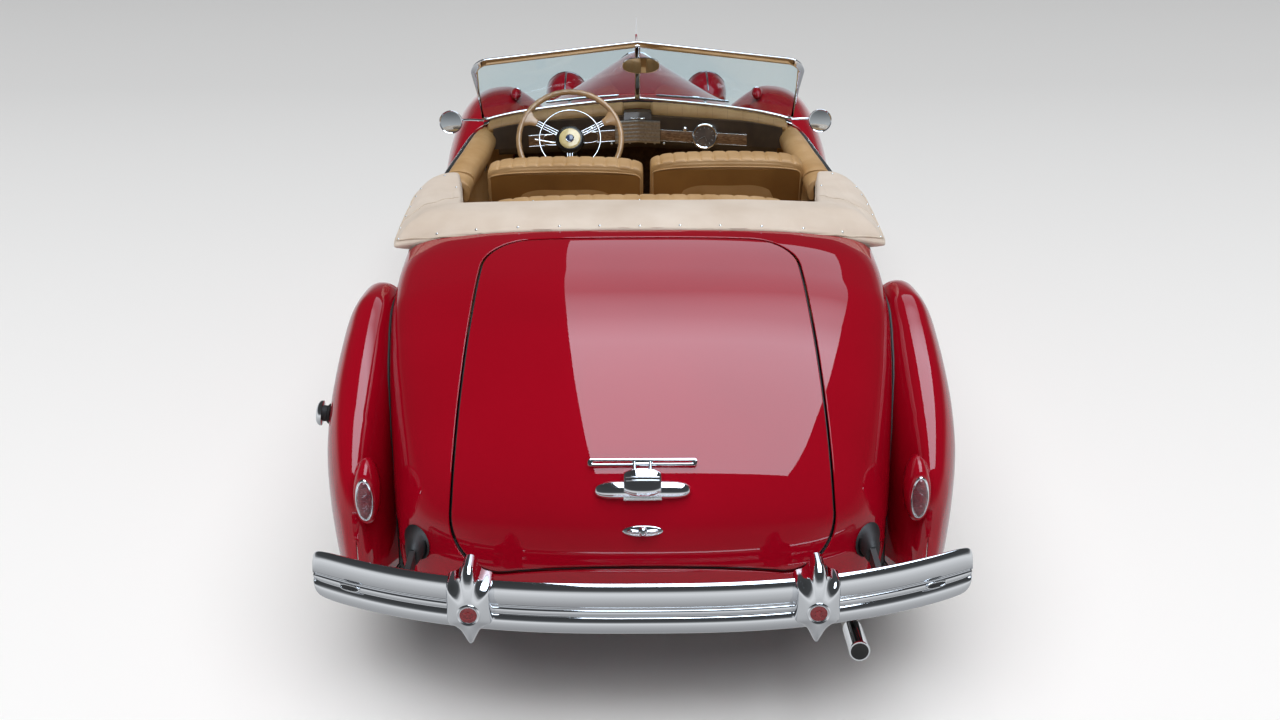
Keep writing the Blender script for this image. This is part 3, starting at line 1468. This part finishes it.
def make_panes(base, top, corner):
    """Flat glass inside each half of the frame."""
    _, _, _, up, normal = screen_plane()
    edge = POST_RADIUS + 2 * CONTACT_GAP
    loop = [base[0]] + base[1:] + [corner, top]
    middle = sum(loop, Vector()) / len(loop)
    shrunk = []
    count = len(loop)
    for i, point in enumerate(loop):
        before, after = loop[i - 1], loop[(i + 1) % count]
        first = (point - before).normalized().cross(normal)
        second = (after - point).normalized().cross(normal)
        if first.dot(middle - point) < 0:
            first.negate()
        if second.dot(middle - point) < 0:
            second.negate()
        bisector = (first + second).normalized()
        shrunk.append(point + bisector * edge / max(bisector.dot(first), 0.3))
    rings = [
        [point + normal * GLASS_THICKNESS / 2 for point in shrunk],
        [point - normal * GLASS_THICKNESS / 2 for point in shrunk],
    ]
    pane = loft("windscreen_glass_left", rings, CLEAR_GLASS)
    return mirrored(pane, "windscreen_glass_right")


# Dashboard, along the V of the windscreen
DASH_HALF_SHARE = 0.7848
DASH_HALF = DASH_HALF_SHARE * BODY_HALF_WIDTH
DASH_DEPTH = 0.110
DASH_TOP_DROP = 0.048
DASH_LOW_DROP = 0.174
DASH_TOP = COWL_HEIGHT - DASH_TOP_DROP
DASH_LOW = COWL_HEIGHT - DASH_LOW_DROP
DASH_MIDDLE_SHARE = 0.370
DASH_END_SHARE = 0.418
DASH_SECTION_SHARES = (
    (0.0, 1.0), (0.45, 1.0), (0.80, 0.92), (0.95, 0.78), (0.90, 0.62), (0.80, 0.56),
    (0.80, 0.06), (0.70, 0.0), (0.10, 0.0), (0.0, 0.10),
)
DASH_STATION_SHARES = (-1, -0.75, -0.45, -0.18, 0, 0.18, 0.45, 0.75, 1)


def make_dashboard():
    rings = []
    middle, end = y_at(DASH_MIDDLE_SHARE), y_at(DASH_END_SHARE)
    for share in DASH_STATION_SHARES:
        x = share * DASH_HALF
        front = middle + abs(share) * (end - middle)
        top = min(DASH_TOP, skin_z(abs(x), front) - SHELL_THICKNESS - 2 * SEAM)
        ring = []
        for back, up in DASH_SECTION_SHARES:
            ring.append(Vector((x, front + back * DASH_DEPTH, DASH_LOW + up * (top - DASH_LOW))))
        rings.append(ring)
    return baked(loft("dashboard", rings, TAN_LEATHER))


# Steering wheel and column
HAND_WHEEL_RADIUS = 0.215
RIM_TUBE = 0.012
HUB_RADIUS = 0.042
BOSS_SHARES = ((0.0, 0.38), (0.6, 0.31), (1.0, 0.0), (0.8, -0.72), (0.0, -0.72))
SHAFT_GAP = 0.038
SPOKE_ANGLES = (38, 142, 270)
SPOKE_SHARE = 0.700
GEAR_WIDTH = 0.080
GEAR_DEPTH = 0.110
GEAR_HEIGHT = 0.090


def make_steering():
    axis = (column_point(0) - column_point(1)).normalized()
    hub = column_point(0)
    bpy.ops.mesh.primitive_torus_add(
        major_radius=HAND_WHEEL_RADIUS, minor_radius=RIM_TUBE, major_segments=24, minor_segments=6
    )
    rim = bpy.context.object
    rim.name = "steering_wheel"
    turn = Vector((0, 0, 1)).rotation_difference(axis)
    rim.data.transform(Matrix.Translation(hub) @ turn.to_matrix().to_4x4())
    rim.data.materials.append(TAN_LEATHER)
    for collection in list(rim.users_collection):
        collection.objects.unlink(rim)
    PARTS.objects.link(rim)
    across = Vector((1, 0, 0))
    up = axis.cross(across).normalized()
    if up.z < 0:
        up.negate()
    profile = [(radius * HUB_RADIUS, along * HUB_RADIUS) for radius, along in BOSS_SHARES]
    join(rim, turned("steering_boss", profile, hub, axis, TAN_LEATHER, 20))
    for angle in SPOKE_ANGLES:
        out = across * cos(radians(angle)) + up * sin(radians(angle))
        line = [hub, hub + out * HAND_WHEEL_RADIUS]
        join(rim, tube(f"spoke_{angle}", line, SPOKE_SHARE * RIM_TUBE, CHROME))
    wheel = baked(rim)
    set_origin(wheel, hub)
    line = [hub - axis * SHAFT_GAP, column_point(1)]
    column = tube("steering_column", line, COLUMN_RADIUS, FRAME_BLACK, resolution=3)
    gear = box("steering_gear", column_point(1), (GEAR_WIDTH, GEAR_DEPTH, GEAR_HEIGHT), FRAME_BLACK)
    join(column, gear)
    return baked(column)


# Seats: soft solids with crowned, rounded edges
SEAT_GAP_X = -0.030
SEAT_GAP_HALF = 0.012
SEAT_INSET = 0.170
SEAT_HALF = BODY_HALF_WIDTH - SEAT_INSET
SEAT_SHARE = 0.600
SEAT_THICKNESS = 0.165
SEAT_DROP = 0.050
SEAT_TOP = COWL_HEIGHT - SEAT_DROP
SEAT_LENGTH = 0.560
SEAT_LEAN = 0.220
SEAT_ROUNDNESS = 0.220
BASE_ROUNDNESS = 0.200
BASE_OVERLAP = 0.010
CUSHION_DROP = 0.400
CUSHION_TOP = COWL_HEIGHT - CUSHION_DROP
CUSHION_DEPTH = 0.190
BACK_FOOT_SHARE = 0.500
BASE_FOOT_SHARE = 0.450
PLINTH_REACH = 0.270
PLINTH_LENGTH = 0.400
PLINTH_WIDE_SHARE = 0.800
PLINTH_TALL_SHARE = 0.700

# A padded block's section: places along half its width, and its squareness
PAD_SHARES = (-1, -0.93, -0.72, -0.30, 0.30, 0.72, 0.93, 1)
PAD_CORNERS = 16
PAD_SQUARENESS = 0.35
PAD_END_POWER = 6
PAD_END_ROUND = 0.40


def cushion(name, low, high, roundness, surface, lean=0.0):
    """A padded block between two corners, crowned on every face."""
    low, high = Vector(low), Vector(high)
    middle, half = (low + high) / 2, (high - low) / 2
    rings = []
    for t in PAD_SHARES:
        size = (1 - abs(t) ** PAD_END_POWER) ** PAD_END_ROUND if abs(t) < 1 else 0
        size = 1 - roundness * (1 - size)
        ring = []
        for i in range(PAD_CORNERS):
            angle = 2 * pi * (i + 0.5) / PAD_CORNERS
            across = copysign(abs(cos(angle)) ** PAD_SQUARENESS, cos(angle)) * size
            up = copysign(abs(sin(angle)) ** PAD_SQUARENESS, sin(angle)) * size
            y = middle.y + across * half.y + lean * up * half.z
            ring.append(Vector((middle.x + t * half.x, y, middle.z + up * half.z)))
        rings.append(ring)
    return loft(name, rings, surface)


def make_front_seat(name, inner, outer):
    seat_y = y_at(SEAT_SHARE)
    floor = FLOOR_BOTTOM + FLOOR_THICKNESS + SEAM
    back = cushion(
        name,
        (inner, seat_y - SEAT_THICKNESS / 2, floor + BACK_FOOT_SHARE * CUSHION_DEPTH),
        (outer, seat_y + SEAT_THICKNESS / 2, SEAT_TOP),
        SEAT_ROUNDNESS,
        TAN_LEATHER,
        lean=SEAT_LEAN,
    )
    base = cushion(
        name + "_base",
        (inner, seat_y - SEAT_LENGTH, floor + BASE_FOOT_SHARE * CUSHION_DEPTH),
        (outer, seat_y + BASE_OVERLAP, CUSHION_TOP),
        BASE_ROUNDNESS,
        TAN_LEATHER,
    )
    join(back, base)
    tall = PLINTH_TALL_SHARE * CUSHION_DEPTH
    centre = ((inner + outer) / 2, seat_y - PLINTH_REACH, floor + tall / 2)
    size = (PLINTH_WIDE_SHARE * abs(outer - inner), PLINTH_LENGTH, tall)
    join(back, box(name + "_plinth", centre, size, TAN_LEATHER))
    return baked(back)


REAR_SEAT_SHARE = 0.798
REAR_SEAT_INSET = 0.230
REAR_SEAT_THICKNESS = 0.140
REAR_SEAT_LENGTH = 0.460
REAR_SEAT_DROP = 0.010
REAR_SEAT_LEAN = 0.200
REAR_BASE_ROUNDNESS = 0.160
REAR_BASE_DROP = 0.040
REAR_FOOT_SHARE = 0.800


def make_rear_seat():
    back_y = y_at(REAR_SEAT_SHARE)
    floor = FLOOR_BOTTOM + FLOOR_THICKNESS + SEAM
    half = BODY_HALF_WIDTH - REAR_SEAT_INSET
    back = cushion(
        "rear_seat",
        (-half, back_y - REAR_SEAT_THICKNESS / 2, floor + REAR_FOOT_SHARE * KICK_UP),
        (half, back_y + REAR_SEAT_THICKNESS / 2, SEAT_TOP - REAR_SEAT_DROP),
        BASE_ROUNDNESS,
        TAN_LEATHER,
        lean=REAR_SEAT_LEAN,
    )
    base = cushion(
        "rear_seat_base",
        (-half, back_y - REAR_SEAT_LENGTH, floor),
        (half, back_y - BASE_OVERLAP, CUSHION_TOP - REAR_BASE_DROP),
        REAR_BASE_ROUNDNESS,
        TAN_LEATHER,
    )
    join(back, base)
    return baked(back)


# Where a station of the boot cover has its points: share across, and share of its crown
BOOT_SECTION = ((0.0, 0.0), (0.0, 0.74), (0.10, 0.92), (0.30, 1.0), (0.55, 1.0))
BOOT_FALL_SHARES = ((0.80, 0.30), (0.95, 0.75), (1.0, 1.0))
BOOT_HEM_SHARE = 0.985


def make_boot():
    rings = []
    for xi, yi, xo, yo, crown, edge in BOOT_SHARES:
        inner = Vector((xi * BODY_HALF_WIDTH, y_at(yi), BOOT_BASE))
        outer = Vector((xo * BODY_HALF_WIDTH, y_at(yo), BOOT_BASE))
        section = [(t, up * crown) for t, up in BOOT_SECTION]
        section += [(t, crown + fall * (edge - crown)) for t, fall in BOOT_FALL_SHARES]
        section += [(BOOT_HEM_SHARE, 0.0)]
        rings.append([inner.lerp(outer, t) + Vector((0, 0, up * BOOT_RISE)) for t, up in section])
    rings += [[Vector((-p.x, p.y, p.z)) for p in ring] for ring in reversed(rings[:-1])]
    return loft("top_boot", rings, CREAM_CANVAS)


# Lamps
HEADLAMP_RADIUS = 0.108
HEADLAMP_SHARES = (
    (0.0, 0.93), (0.60, 0.80), (0.92, 0.57), (1.0, 0.37), (1.0, 0.0), (0.93, -0.93),
    (0.72, -1.85), (0.40, -2.59), (0.0, -2.96),
)
HEADLAMP_FOOT_WIDE_SHARE = 0.400
HEADLAMP_FOOT_LONG_SHARE = 1.200
HEADLAMP_X_SHARE = 0.4785
HEADLAMP_X = HEADLAMP_X_SHARE * BODY_HALF_WIDTH
HEADLAMP_HEIGHT_SHARE = 0.7561
HEADLAMP_HEIGHT = HEADLAMP_HEIGHT_SHARE * COWL_HEIGHT
HEADLAMP_SHARE = -0.380
TAIL_LAMP_INSET = 0.179
TAIL_LAMP_X = WING_HALF_WIDTH - TAIL_LAMP_INSET
TAIL_LAMP_HEIGHT_SHARE = 0.5561
TAIL_LAMP_HEIGHT = TAIL_LAMP_HEIGHT_SHARE * COWL_HEIGHT


def make_headlamp():
    y = y_at(HEADLAMP_SHARE)
    r = HEADLAMP_RADIUS
    profile = [(radius * r, along * r) for radius, along in HEADLAMP_SHARES]
    pod = turned("headlamp_left", profile, (HEADLAMP_X, y, HEADLAMP_HEIGHT), (0, -1, 0), RED_PAINT, 20)
    table = wing_table(FRONT_WING_SHARES)
    foot_low = table.at(y)[2] * COWL_HEIGHT + 2 * SHEET_THICKNESS
    size = (HEADLAMP_FOOT_WIDE_SHARE * r, HEADLAMP_FOOT_LONG_SHARE * r, HEADLAMP_HEIGHT - foot_low)
    centre = (HEADLAMP_X, y, (foot_low + HEADLAMP_HEIGHT) / 2)
    join(pod, box("headlamp_foot", centre, size, RED_PAINT))
    return mirrored(pod, "headlamp_right")


TAIL_POD_RADIUS = 0.038
TAIL_POD_TALL_SHARE = 2.450
TAIL_POD_SHARES = (
    (0.0, 0.0),
    (0.72, 0.0),
    (0.90, -0.30),
    (1.0, -1.0),
    (0.90, -2.3),
    (0.60, -3.6),
    (0.0, -4.4),
)
TAIL_POD_END_SHARE = 1.6400
TAIL_LENS_SHARES = ((0.0, 0.34), (0.40, 0.27), (0.66, 0.10), (0.70, 0.0), (0.0, 0.0))


def make_lamp_pod():
    """The painted pod of a tail lamp, drawn out along the wing."""
    r = TAIL_POD_RADIUS
    profile = [(radius * r, along * r) for radius, along in TAIL_POD_SHARES]
    pod = turned("lamp_pod", profile, (0, 0, 0), (0, 1, 0), RED_PAINT, 14)
    place = Matrix.Translation((TAIL_LAMP_X, y_at(TAIL_POD_END_SHARE), TAIL_LAMP_HEIGHT))
    pod.data.transform(place @ Matrix.Diagonal((1, 1, TAIL_POD_TALL_SHARE, 1)))
    return pod


def make_tail_lamp():
    r = TAIL_POD_RADIUS
    profile = [(radius * r, along * r) for radius, along in TAIL_LENS_SHARES]
    lens = turned("tail_lamp_left", profile, (0, 0, 0), (0, 1, 0), RED_LENS, 16)
    y = y_at(TAIL_POD_END_SHARE) + CONTACT_GAP
    place = Matrix.Translation((TAIL_LAMP_X, y, TAIL_LAMP_HEIGHT))
    lens.data.transform(place @ Matrix.Diagonal((1, 1, TAIL_POD_TALL_SHARE, 1)))
    return mirrored(lens, "tail_lamp_right")


# Plate lamp and handle on the boot lid, flat-backed on the lid's crown
PLATE_LAMP_SHARES = (
    (-1.0, 0.30), (-0.96, 0.62), (-0.85, 0.80), (-0.50, 0.88), (0.0, 0.92), (0.50, 0.88),
    (0.85, 0.80), (0.96, 0.62), (1.0, 0.30),
)
PLATE_LAMP_HALF = 0.135
PLATE_LAMP_TALL = 0.072
PLATE_LAMP_DEPTH = 0.046
PLATE_LAMP_SHARE = 1.690
HANDLE_HALF = 0.056
HANDLE_TALL = 0.030
HANDLE_DEPTH = 0.026
HANDLE_SHARE = 1.7650


def lid_fitting(name, share, half, tall, depth):
    """A rounded chrome fitting that stands off the lid's centreline."""
    s = s_at(share)
    y, z, ny, nz = body_frame(s)[:4]
    up = Vector((0, -nz, ny))
    out = Vector((0, ny, nz))
    base = Vector((0, y, z)) + out * CONTACT_GAP
    rings = []
    for t, size in PLATE_LAMP_SHARES:
        ring = []
        for angle in spread(0, pi, 7):
            ring.append(base + up * (cos(angle) * size * tall / 2) + out * (sin(angle) * size * depth))
        rings.append([Vector((t * half, p.y, p.z)) for p in ring])
    return loft(name, rings, CHROME)


# Running gear
SPINDLE_RADIUS = 0.020
SPINDLE_END_SHARE = 0.020
KINGPIN_INSET = 0.063
KINGPIN_HALF = FRONT_TRACK / 2 - KINGPIN_INSET
KINGPIN_RADIUS = 0.016
KINGPIN_REACH = 0.125
AXLE_TUBE = 0.036
AXLE_STEP_SHARES = (0.30, 0.34)
DIFFERENTIAL_RADIUS = 0.130
DIFFERENTIAL_HALF = 0.040
DIFFERENTIAL_NECK = 0.110
DRIVESHAFT_RADIUS = 0.030
DRIVESHAFT_SHARE = 0.345
SPRING_GAP = 0.020
SPRING_WIDTH = 0.050
SPRING_DEPTH = 0.030
SPRING_REACH = 0.580
SPRING_CURVE = 0.040
SPRING_DROP = 0.012
ARM_WIDTH = 0.060
ARM_DEPTH = 0.026
ARM_SPREAD = 0.105
BEAM_DEPTH = 0.060
BEAM_DROP = 0.035
BEAM_REACH = 0.060
BEAM_WIDE_SHARE = 1.500
TOWER_GAP = 0.015
TOWER_WIDTH = 0.040
TOWER_LIFT = 0.010
TOWER_REACH = 0.060
DRUM_RADIUS = 0.145

# Sections: share of the tyre's height from the rim and of its width; the disc's share of the
# rim's radius and of the tyre's width
TYRE_SHARES = (
    (0.0, 0.34), (0.22, 0.47), (0.52, 0.50), (0.86, 0.41), (1.0, 0.24),
    (1.0, -0.24), (0.86, -0.41), (0.52, -0.50), (0.22, -0.47), (0.0, -0.34),
)
DISC_SHARES = (
    (0.0, 0.40), (0.32, 0.34), (0.50, 0.12), (0.84, 0.12), (0.90, 0.34), (1.0, 0.36),
    (1.0, -0.36), (0.92, -0.36), (0.86, -0.02),
)
HUB_FACE_SHARE = 0.100
DRUM_FACE_SHARE = -0.020
DRUM_BACK_SHARE = -0.220


WHEEL_SIDES = 28


def make_tyre(name, x, y, side):
    tall = TYRE_RADIUS - RIM_RADIUS
    profile = [(RIM_RADIUS + up * tall, along * TYRE_WIDTH) for up, along in TYRE_SHARES]
    tyre = turned(name, profile, (x, y, TYRE_RADIUS), (side, 0, 0), BLACK_RUBBER, WHEEL_SIDES)
    set_origin(tyre, (x, y, TYRE_RADIUS))
    return tyre


def make_wheel(name, x, y, side):
    """A pressed disc with its drum and hub cap, hollow behind for the spindle."""
    rim = RIM_RADIUS - 2 * CONTACT_GAP
    w = TYRE_WIDTH
    bore = SPINDLE_RADIUS + RUNNING_CLEARANCE
    profile = [(radius * rim, along * w) for radius, along in DISC_SHARES]
    profile += [(DRUM_RADIUS, DRUM_FACE_SHARE * w), (DRUM_RADIUS, DRUM_BACK_SHARE * w)]
    profile += [(bore, DRUM_BACK_SHARE * w), (bore, HUB_FACE_SHARE * w), (0, HUB_FACE_SHARE * w)]
    wheel = turned(name, profile, (x, y, TYRE_RADIUS), (side, 0, 0), RED_PAINT, WHEEL_SIDES)
    set_origin(wheel, (x, y, TYRE_RADIUS))
    return wheel


def make_rear_axle():
    y, z = REAR_AXLE_Y, TYRE_RADIUS
    end = REAR_TRACK / 2 + SPINDLE_END_SHARE * TYRE_WIDTH
    neck, step = (end - share * TYRE_WIDTH for share in AXLE_STEP_SHARES)
    half = [
        (0, end), (SPINDLE_RADIUS, end), (SPINDLE_RADIUS, neck), (AXLE_TUBE, step),
        (AXLE_TUBE, DIFFERENTIAL_NECK), (DIFFERENTIAL_RADIUS, DIFFERENTIAL_HALF),
    ]
    profile = half + [(radius, -along) for radius, along in reversed(half)]
    axle = turned("rear_axle", profile, (0, y, z), (1, 0, 0), FRAME_BLACK, 14)
    front = (0, y_at(DRIVESHAFT_SHARE), z)
    join(axle, cylinder("driveshaft", (0, y, z), front, DRIVESHAFT_RADIUS, FRAME_BLACK, 16))
    spring_x = RAIL_INNER_HALF + RAIL_WIDTH + SPRING_GAP
    outline = []
    for offset in (0.0, SPRING_DEPTH):
        line = []
        for along in spread(-1, 1, 9):
            high = z - AXLE_TUBE - SPRING_DROP + SPRING_CURVE * along**2 + offset
            line.append((y + along * SPRING_REACH, high))
        outline += line if not offset else list(reversed(line))
    for side in (-1, 1):
        low, high = sorted((side * spring_x, side * (spring_x + SPRING_WIDTH)))
        join(axle, side_plate(f"spring_{side}", outline, low, high, FRAME_BLACK))
    return baked(axle)


def make_front_suspension():
    y, z = FRONT_AXLE_Y, TYRE_RADIUS
    rail_out = RAIL_INNER_HALF + RAIL_WIDTH
    rail_low = SILL_HEIGHT - CONTACT_GAP
    arm_end = KINGPIN_HALF - KINGPIN_RADIUS - RUNNING_CLEARANCE
    beam = box(
        "front_suspension",
        (0, y, rail_low - BEAM_DROP),
        (2 * (rail_out + BEAM_REACH), BEAM_WIDE_SHARE * ARM_WIDTH, BEAM_DEPTH),
        FRAME_BLACK,
    )
    tower_x = rail_out + TOWER_GAP + TOWER_WIDTH / 2
    arm_start = rail_out + TOWER_GAP + TOWER_WIDTH / 4
    for side in (-1, 1):
        tall = 2 * (z - rail_low + TOWER_REACH)
        centre = (side * tower_x, y, z + TOWER_LIFT)
        join(beam, box(f"tower_{side}", centre, (TOWER_WIDTH, ARM_WIDTH, tall), FRAME_BLACK))
        for level in (-1, 1):
            centre = (side * (arm_start + arm_end) / 2, y, z + level * ARM_SPREAD)
            size = (arm_end - arm_start, ARM_WIDTH, ARM_DEPTH)
            join(beam, box(f"arm_{side}_{level}", centre, size, FRAME_BLACK))
    return baked(beam)


def make_knuckle(name, side):
    y, z = FRONT_AXLE_Y, TYRE_RADIUS
    x = side * KINGPIN_HALF
    low, high = (x, y, z - KINGPIN_REACH), (x, y, z + KINGPIN_REACH)
    post = cylinder(name, low, high, KINGPIN_RADIUS, FRAME_BLACK, 16)
    end = (side * (FRONT_TRACK / 2 + SPINDLE_END_SHARE * TYRE_WIDTH), y, z)
    join(post, cylinder(name + "_spindle", (x, y, z), end, SPINDLE_RADIUS, FRAME_BLACK, 16))
    knuckle = baked(post)
    set_origin(knuckle, (x, y, z))
    return knuckle


# Engine, tank and exhaust
ENGINE_GAP = 0.015
ENGINE_HALF = HUB_X - GEAR_WIDTH / 2 - ENGINE_GAP
ENGINE_SHARE = 0.170
ENGINE_LIFT = 0.035
ENGINE_DROP = 0.180
ENGINE_LENGTH = 0.720
ENGINE_EDGE = 0.020
ENGINE_LOW = RAIL_TOP + ENGINE_LIFT
ENGINE_HIGH = COWL_HEIGHT - ENGINE_DROP
TANK_SHARE = 1.465
TANK_LENGTH = 0.190
TANK_GAP = 0.030
TANK_EDGE = 0.015
TANK_LOW_SHARE = 0.600
PIPE_RADIUS = 0.025
PIPE_HEIGHT = 0.262
PIPE_START_HEIGHT = 0.400
PIPE_GAP = 0.095
PIPE_HALF = RAIL_INNER_HALF - PIPE_GAP
PIPE_TAIL_SHARE = 0.7595
PIPE_TAIL_HALF = PIPE_TAIL_SHARE * BODY_HALF_WIDTH
PIPE_DIP = 0.006
PIPE_TIP_RISE = 0.022
SILENCER_RADIUS = 0.058
SILENCER_DROP = 0.020
SILENCER_SHARES = (0.540, 0.700)

# Where the pipe bends, along the car
PIPE_SHARES = (0.250, 0.290, 1.200, 1.520, 1.700, 1.850)


def make_underside():
    size = (2 * ENGINE_HALF, ENGINE_LENGTH, ENGINE_HIGH - ENGINE_LOW)
    centre = (0, y_at(ENGINE_SHARE), (ENGINE_LOW + ENGINE_HIGH) / 2)
    box("engine_block", centre, size, CAST_IRON, ENGINE_EDGE)
    tank_low = SILL_HEIGHT + TANK_LOW_SHARE * KICK_UP
    tank_high = FLOOR_BOTTOM + KICK_UP - SEAM
    centre = (0, y_at(TANK_SHARE), (tank_low + tank_high) / 2)
    size = (2 * (RAIL_INNER_HALF - TANK_GAP), TANK_LENGTH, tank_high - tank_low)
    box("fuel_tank", centre, size, PIPE_STEEL, TANK_EDGE)
    start, bend, lift, turn, dip, tip = (y_at(share) for share in PIPE_SHARES)
    route = (
        (-PIPE_HALF, start, PIPE_START_HEIGHT),
        (-PIPE_HALF, bend, PIPE_HEIGHT),
        (-PIPE_HALF, lift, PIPE_HEIGHT),
        (-PIPE_TAIL_HALF, turn, PIPE_HEIGHT),
        (-PIPE_TAIL_HALF, dip, PIPE_HEIGHT - PIPE_DIP),
        (-PIPE_TAIL_HALF, tip, PIPE_HEIGHT + PIPE_TIP_RISE),
    )
    pipe = tube("exhaust_pipe", route, PIPE_RADIUS, PIPE_STEEL)
    first, last = ((-PIPE_HALF, y_at(share), PIPE_HEIGHT - SILENCER_DROP) for share in SILENCER_SHARES)
    join(pipe, cylinder("silencer", first, last, SILENCER_RADIUS, PIPE_STEEL, 16))
    return baked(pipe)


# Grille on the nose
GRILLE_DEPTH = 0.012
GRILLE_FOOT_SHARE = 0.002
GRILLE_TOP_SHARE = -0.500
GRILLE_REACH = 15


def make_grille():
    rows = []
    for s in spread(GRILLE_FOOT_SHARE * BODY_LENGTH, s_at(GRILLE_TOP_SHARE), 9):
        line = body_section(s, 24, grow=GRILLE_DEPTH + 2 * SEAM)[:GRILLE_REACH]
        rows.append(half_to_whole(resample(line, 5)))
    shell = loft("radiator_grille", rows, CHROME, closed=False, thickness=GRILLE_DEPTH)
    face_outwards(shell, (0, FRONT_AXLE_Y, NOSE_MIDDLE_SHARE * COWL_HEIGHT))
    shell = baked(shell)
    outline = []
    for along, up in FIN_SHARES:
        y = y_at(along)
        outline.append((y, skin_z(0, y) + GRILLE_DEPTH + up * FIN_HEIGHT))
    join(shell, side_plate("mascot_fin", outline, -FIN_HALF, FIN_HALF, CHROME))
    return baked(shell)


# A plain fin on top of the grille: place along and height above the shell
FIN_SHARES = (
    (-0.520, 0.0), (-0.515, 0.18), (-0.490, 0.44), (-0.450, 0.74), (-0.400, 0.94), (-0.340, 1.0),
    (-0.350, 0.86), (-0.380, 0.60), (-0.410, 0.24), (-0.420, 0.02),
)
FIN_HEIGHT = 0.085
FIN_HALF = 0.005

# Filler cap on the left rear wing, its neck along the wing's own normal
FILLER_RADIUS = 0.034
FILLER_SHARES = (
    (0.0, 0.70), (0.76, 0.62), (1.0, 0.29), (1.0, 0.0), (0.70, -0.06), (0.70, -0.27), (0.0, -0.27),
)
FILLER_SHARE = 1.2905
FILLER_TURN_SHARE = 0.360
FILLER_GAP = 0.0099


def make_filler():
    """Stands on the wing's outer side, a share of the way round from its crown."""
    y = y_at(FILLER_SHARE)
    height, _, crown_half, full = wing_table(REAR_WING_SHARES).at(y)
    crown = (crown_half * WING_HALF_WIDTH, crown_at(height))
    side = outer_flank(y, crown, full * WING_HALF_WIDTH, SILL_HEIGHT)
    side = resample(side, 100)
    i = round(FILLER_TURN_SHARE * len(side))
    along = side[i + 1] - side[i - 1]
    out = Vector((-along.z, 0, along.x)).normalized()
    if out.x < 0:
        out.negate()
    profile = [(radius * FILLER_RADIUS, high * FILLER_RADIUS) for radius, high in FILLER_SHARES]
    return turned("fuel_filler_cap", profile, side[i] + out * FILLER_GAP, out, CHROME, 20)


make_rear_body()
make_lid()
make_cowl()
make_bonnet_half()
make_door()
make_nose()
make_rear_wing()
make_front_wing()
make_apron()
make_running_board()
make_chassis()
make_bumper("rear_bumper", 1, REAR_Y)
make_bumper("front_bumper", -1, FRONT_Y)
make_floor()
make_wheelhouse()
make_windscreen()
make_dashboard()
make_steering()
make_front_seat("front_seat_left", SEAT_GAP_X + SEAT_GAP_HALF, SEAT_HALF)
make_front_seat("front_seat_right", -SEAT_HALF, SEAT_GAP_X - SEAT_GAP_HALF)
make_rear_seat()
make_boot()
make_headlamp()
make_tail_lamp()
lid_fitting("plate_lamp", PLATE_LAMP_SHARE, PLATE_LAMP_HALF, PLATE_LAMP_TALL, PLATE_LAMP_DEPTH)
lid_fitting("lid_handle", HANDLE_SHARE, HANDLE_HALF, HANDLE_TALL, HANDLE_DEPTH)
make_rear_axle()
make_front_suspension()
make_underside()
make_grille()
make_filler()
for end, track, axle in (("front", FRONT_TRACK, FRONT_AXLE_Y), ("rear", REAR_TRACK, REAR_AXLE_Y)):
    for hand, side in (("left", 1), ("right", -1)):
        make_tyre(f"tyre_{end}_{hand}", side * track / 2, axle, side)
        make_wheel(f"wheel_{end}_{hand}", side * track / 2, axle, side)
make_knuckle("knuckle_left", 1)
make_knuckle("knuckle_right", -1)
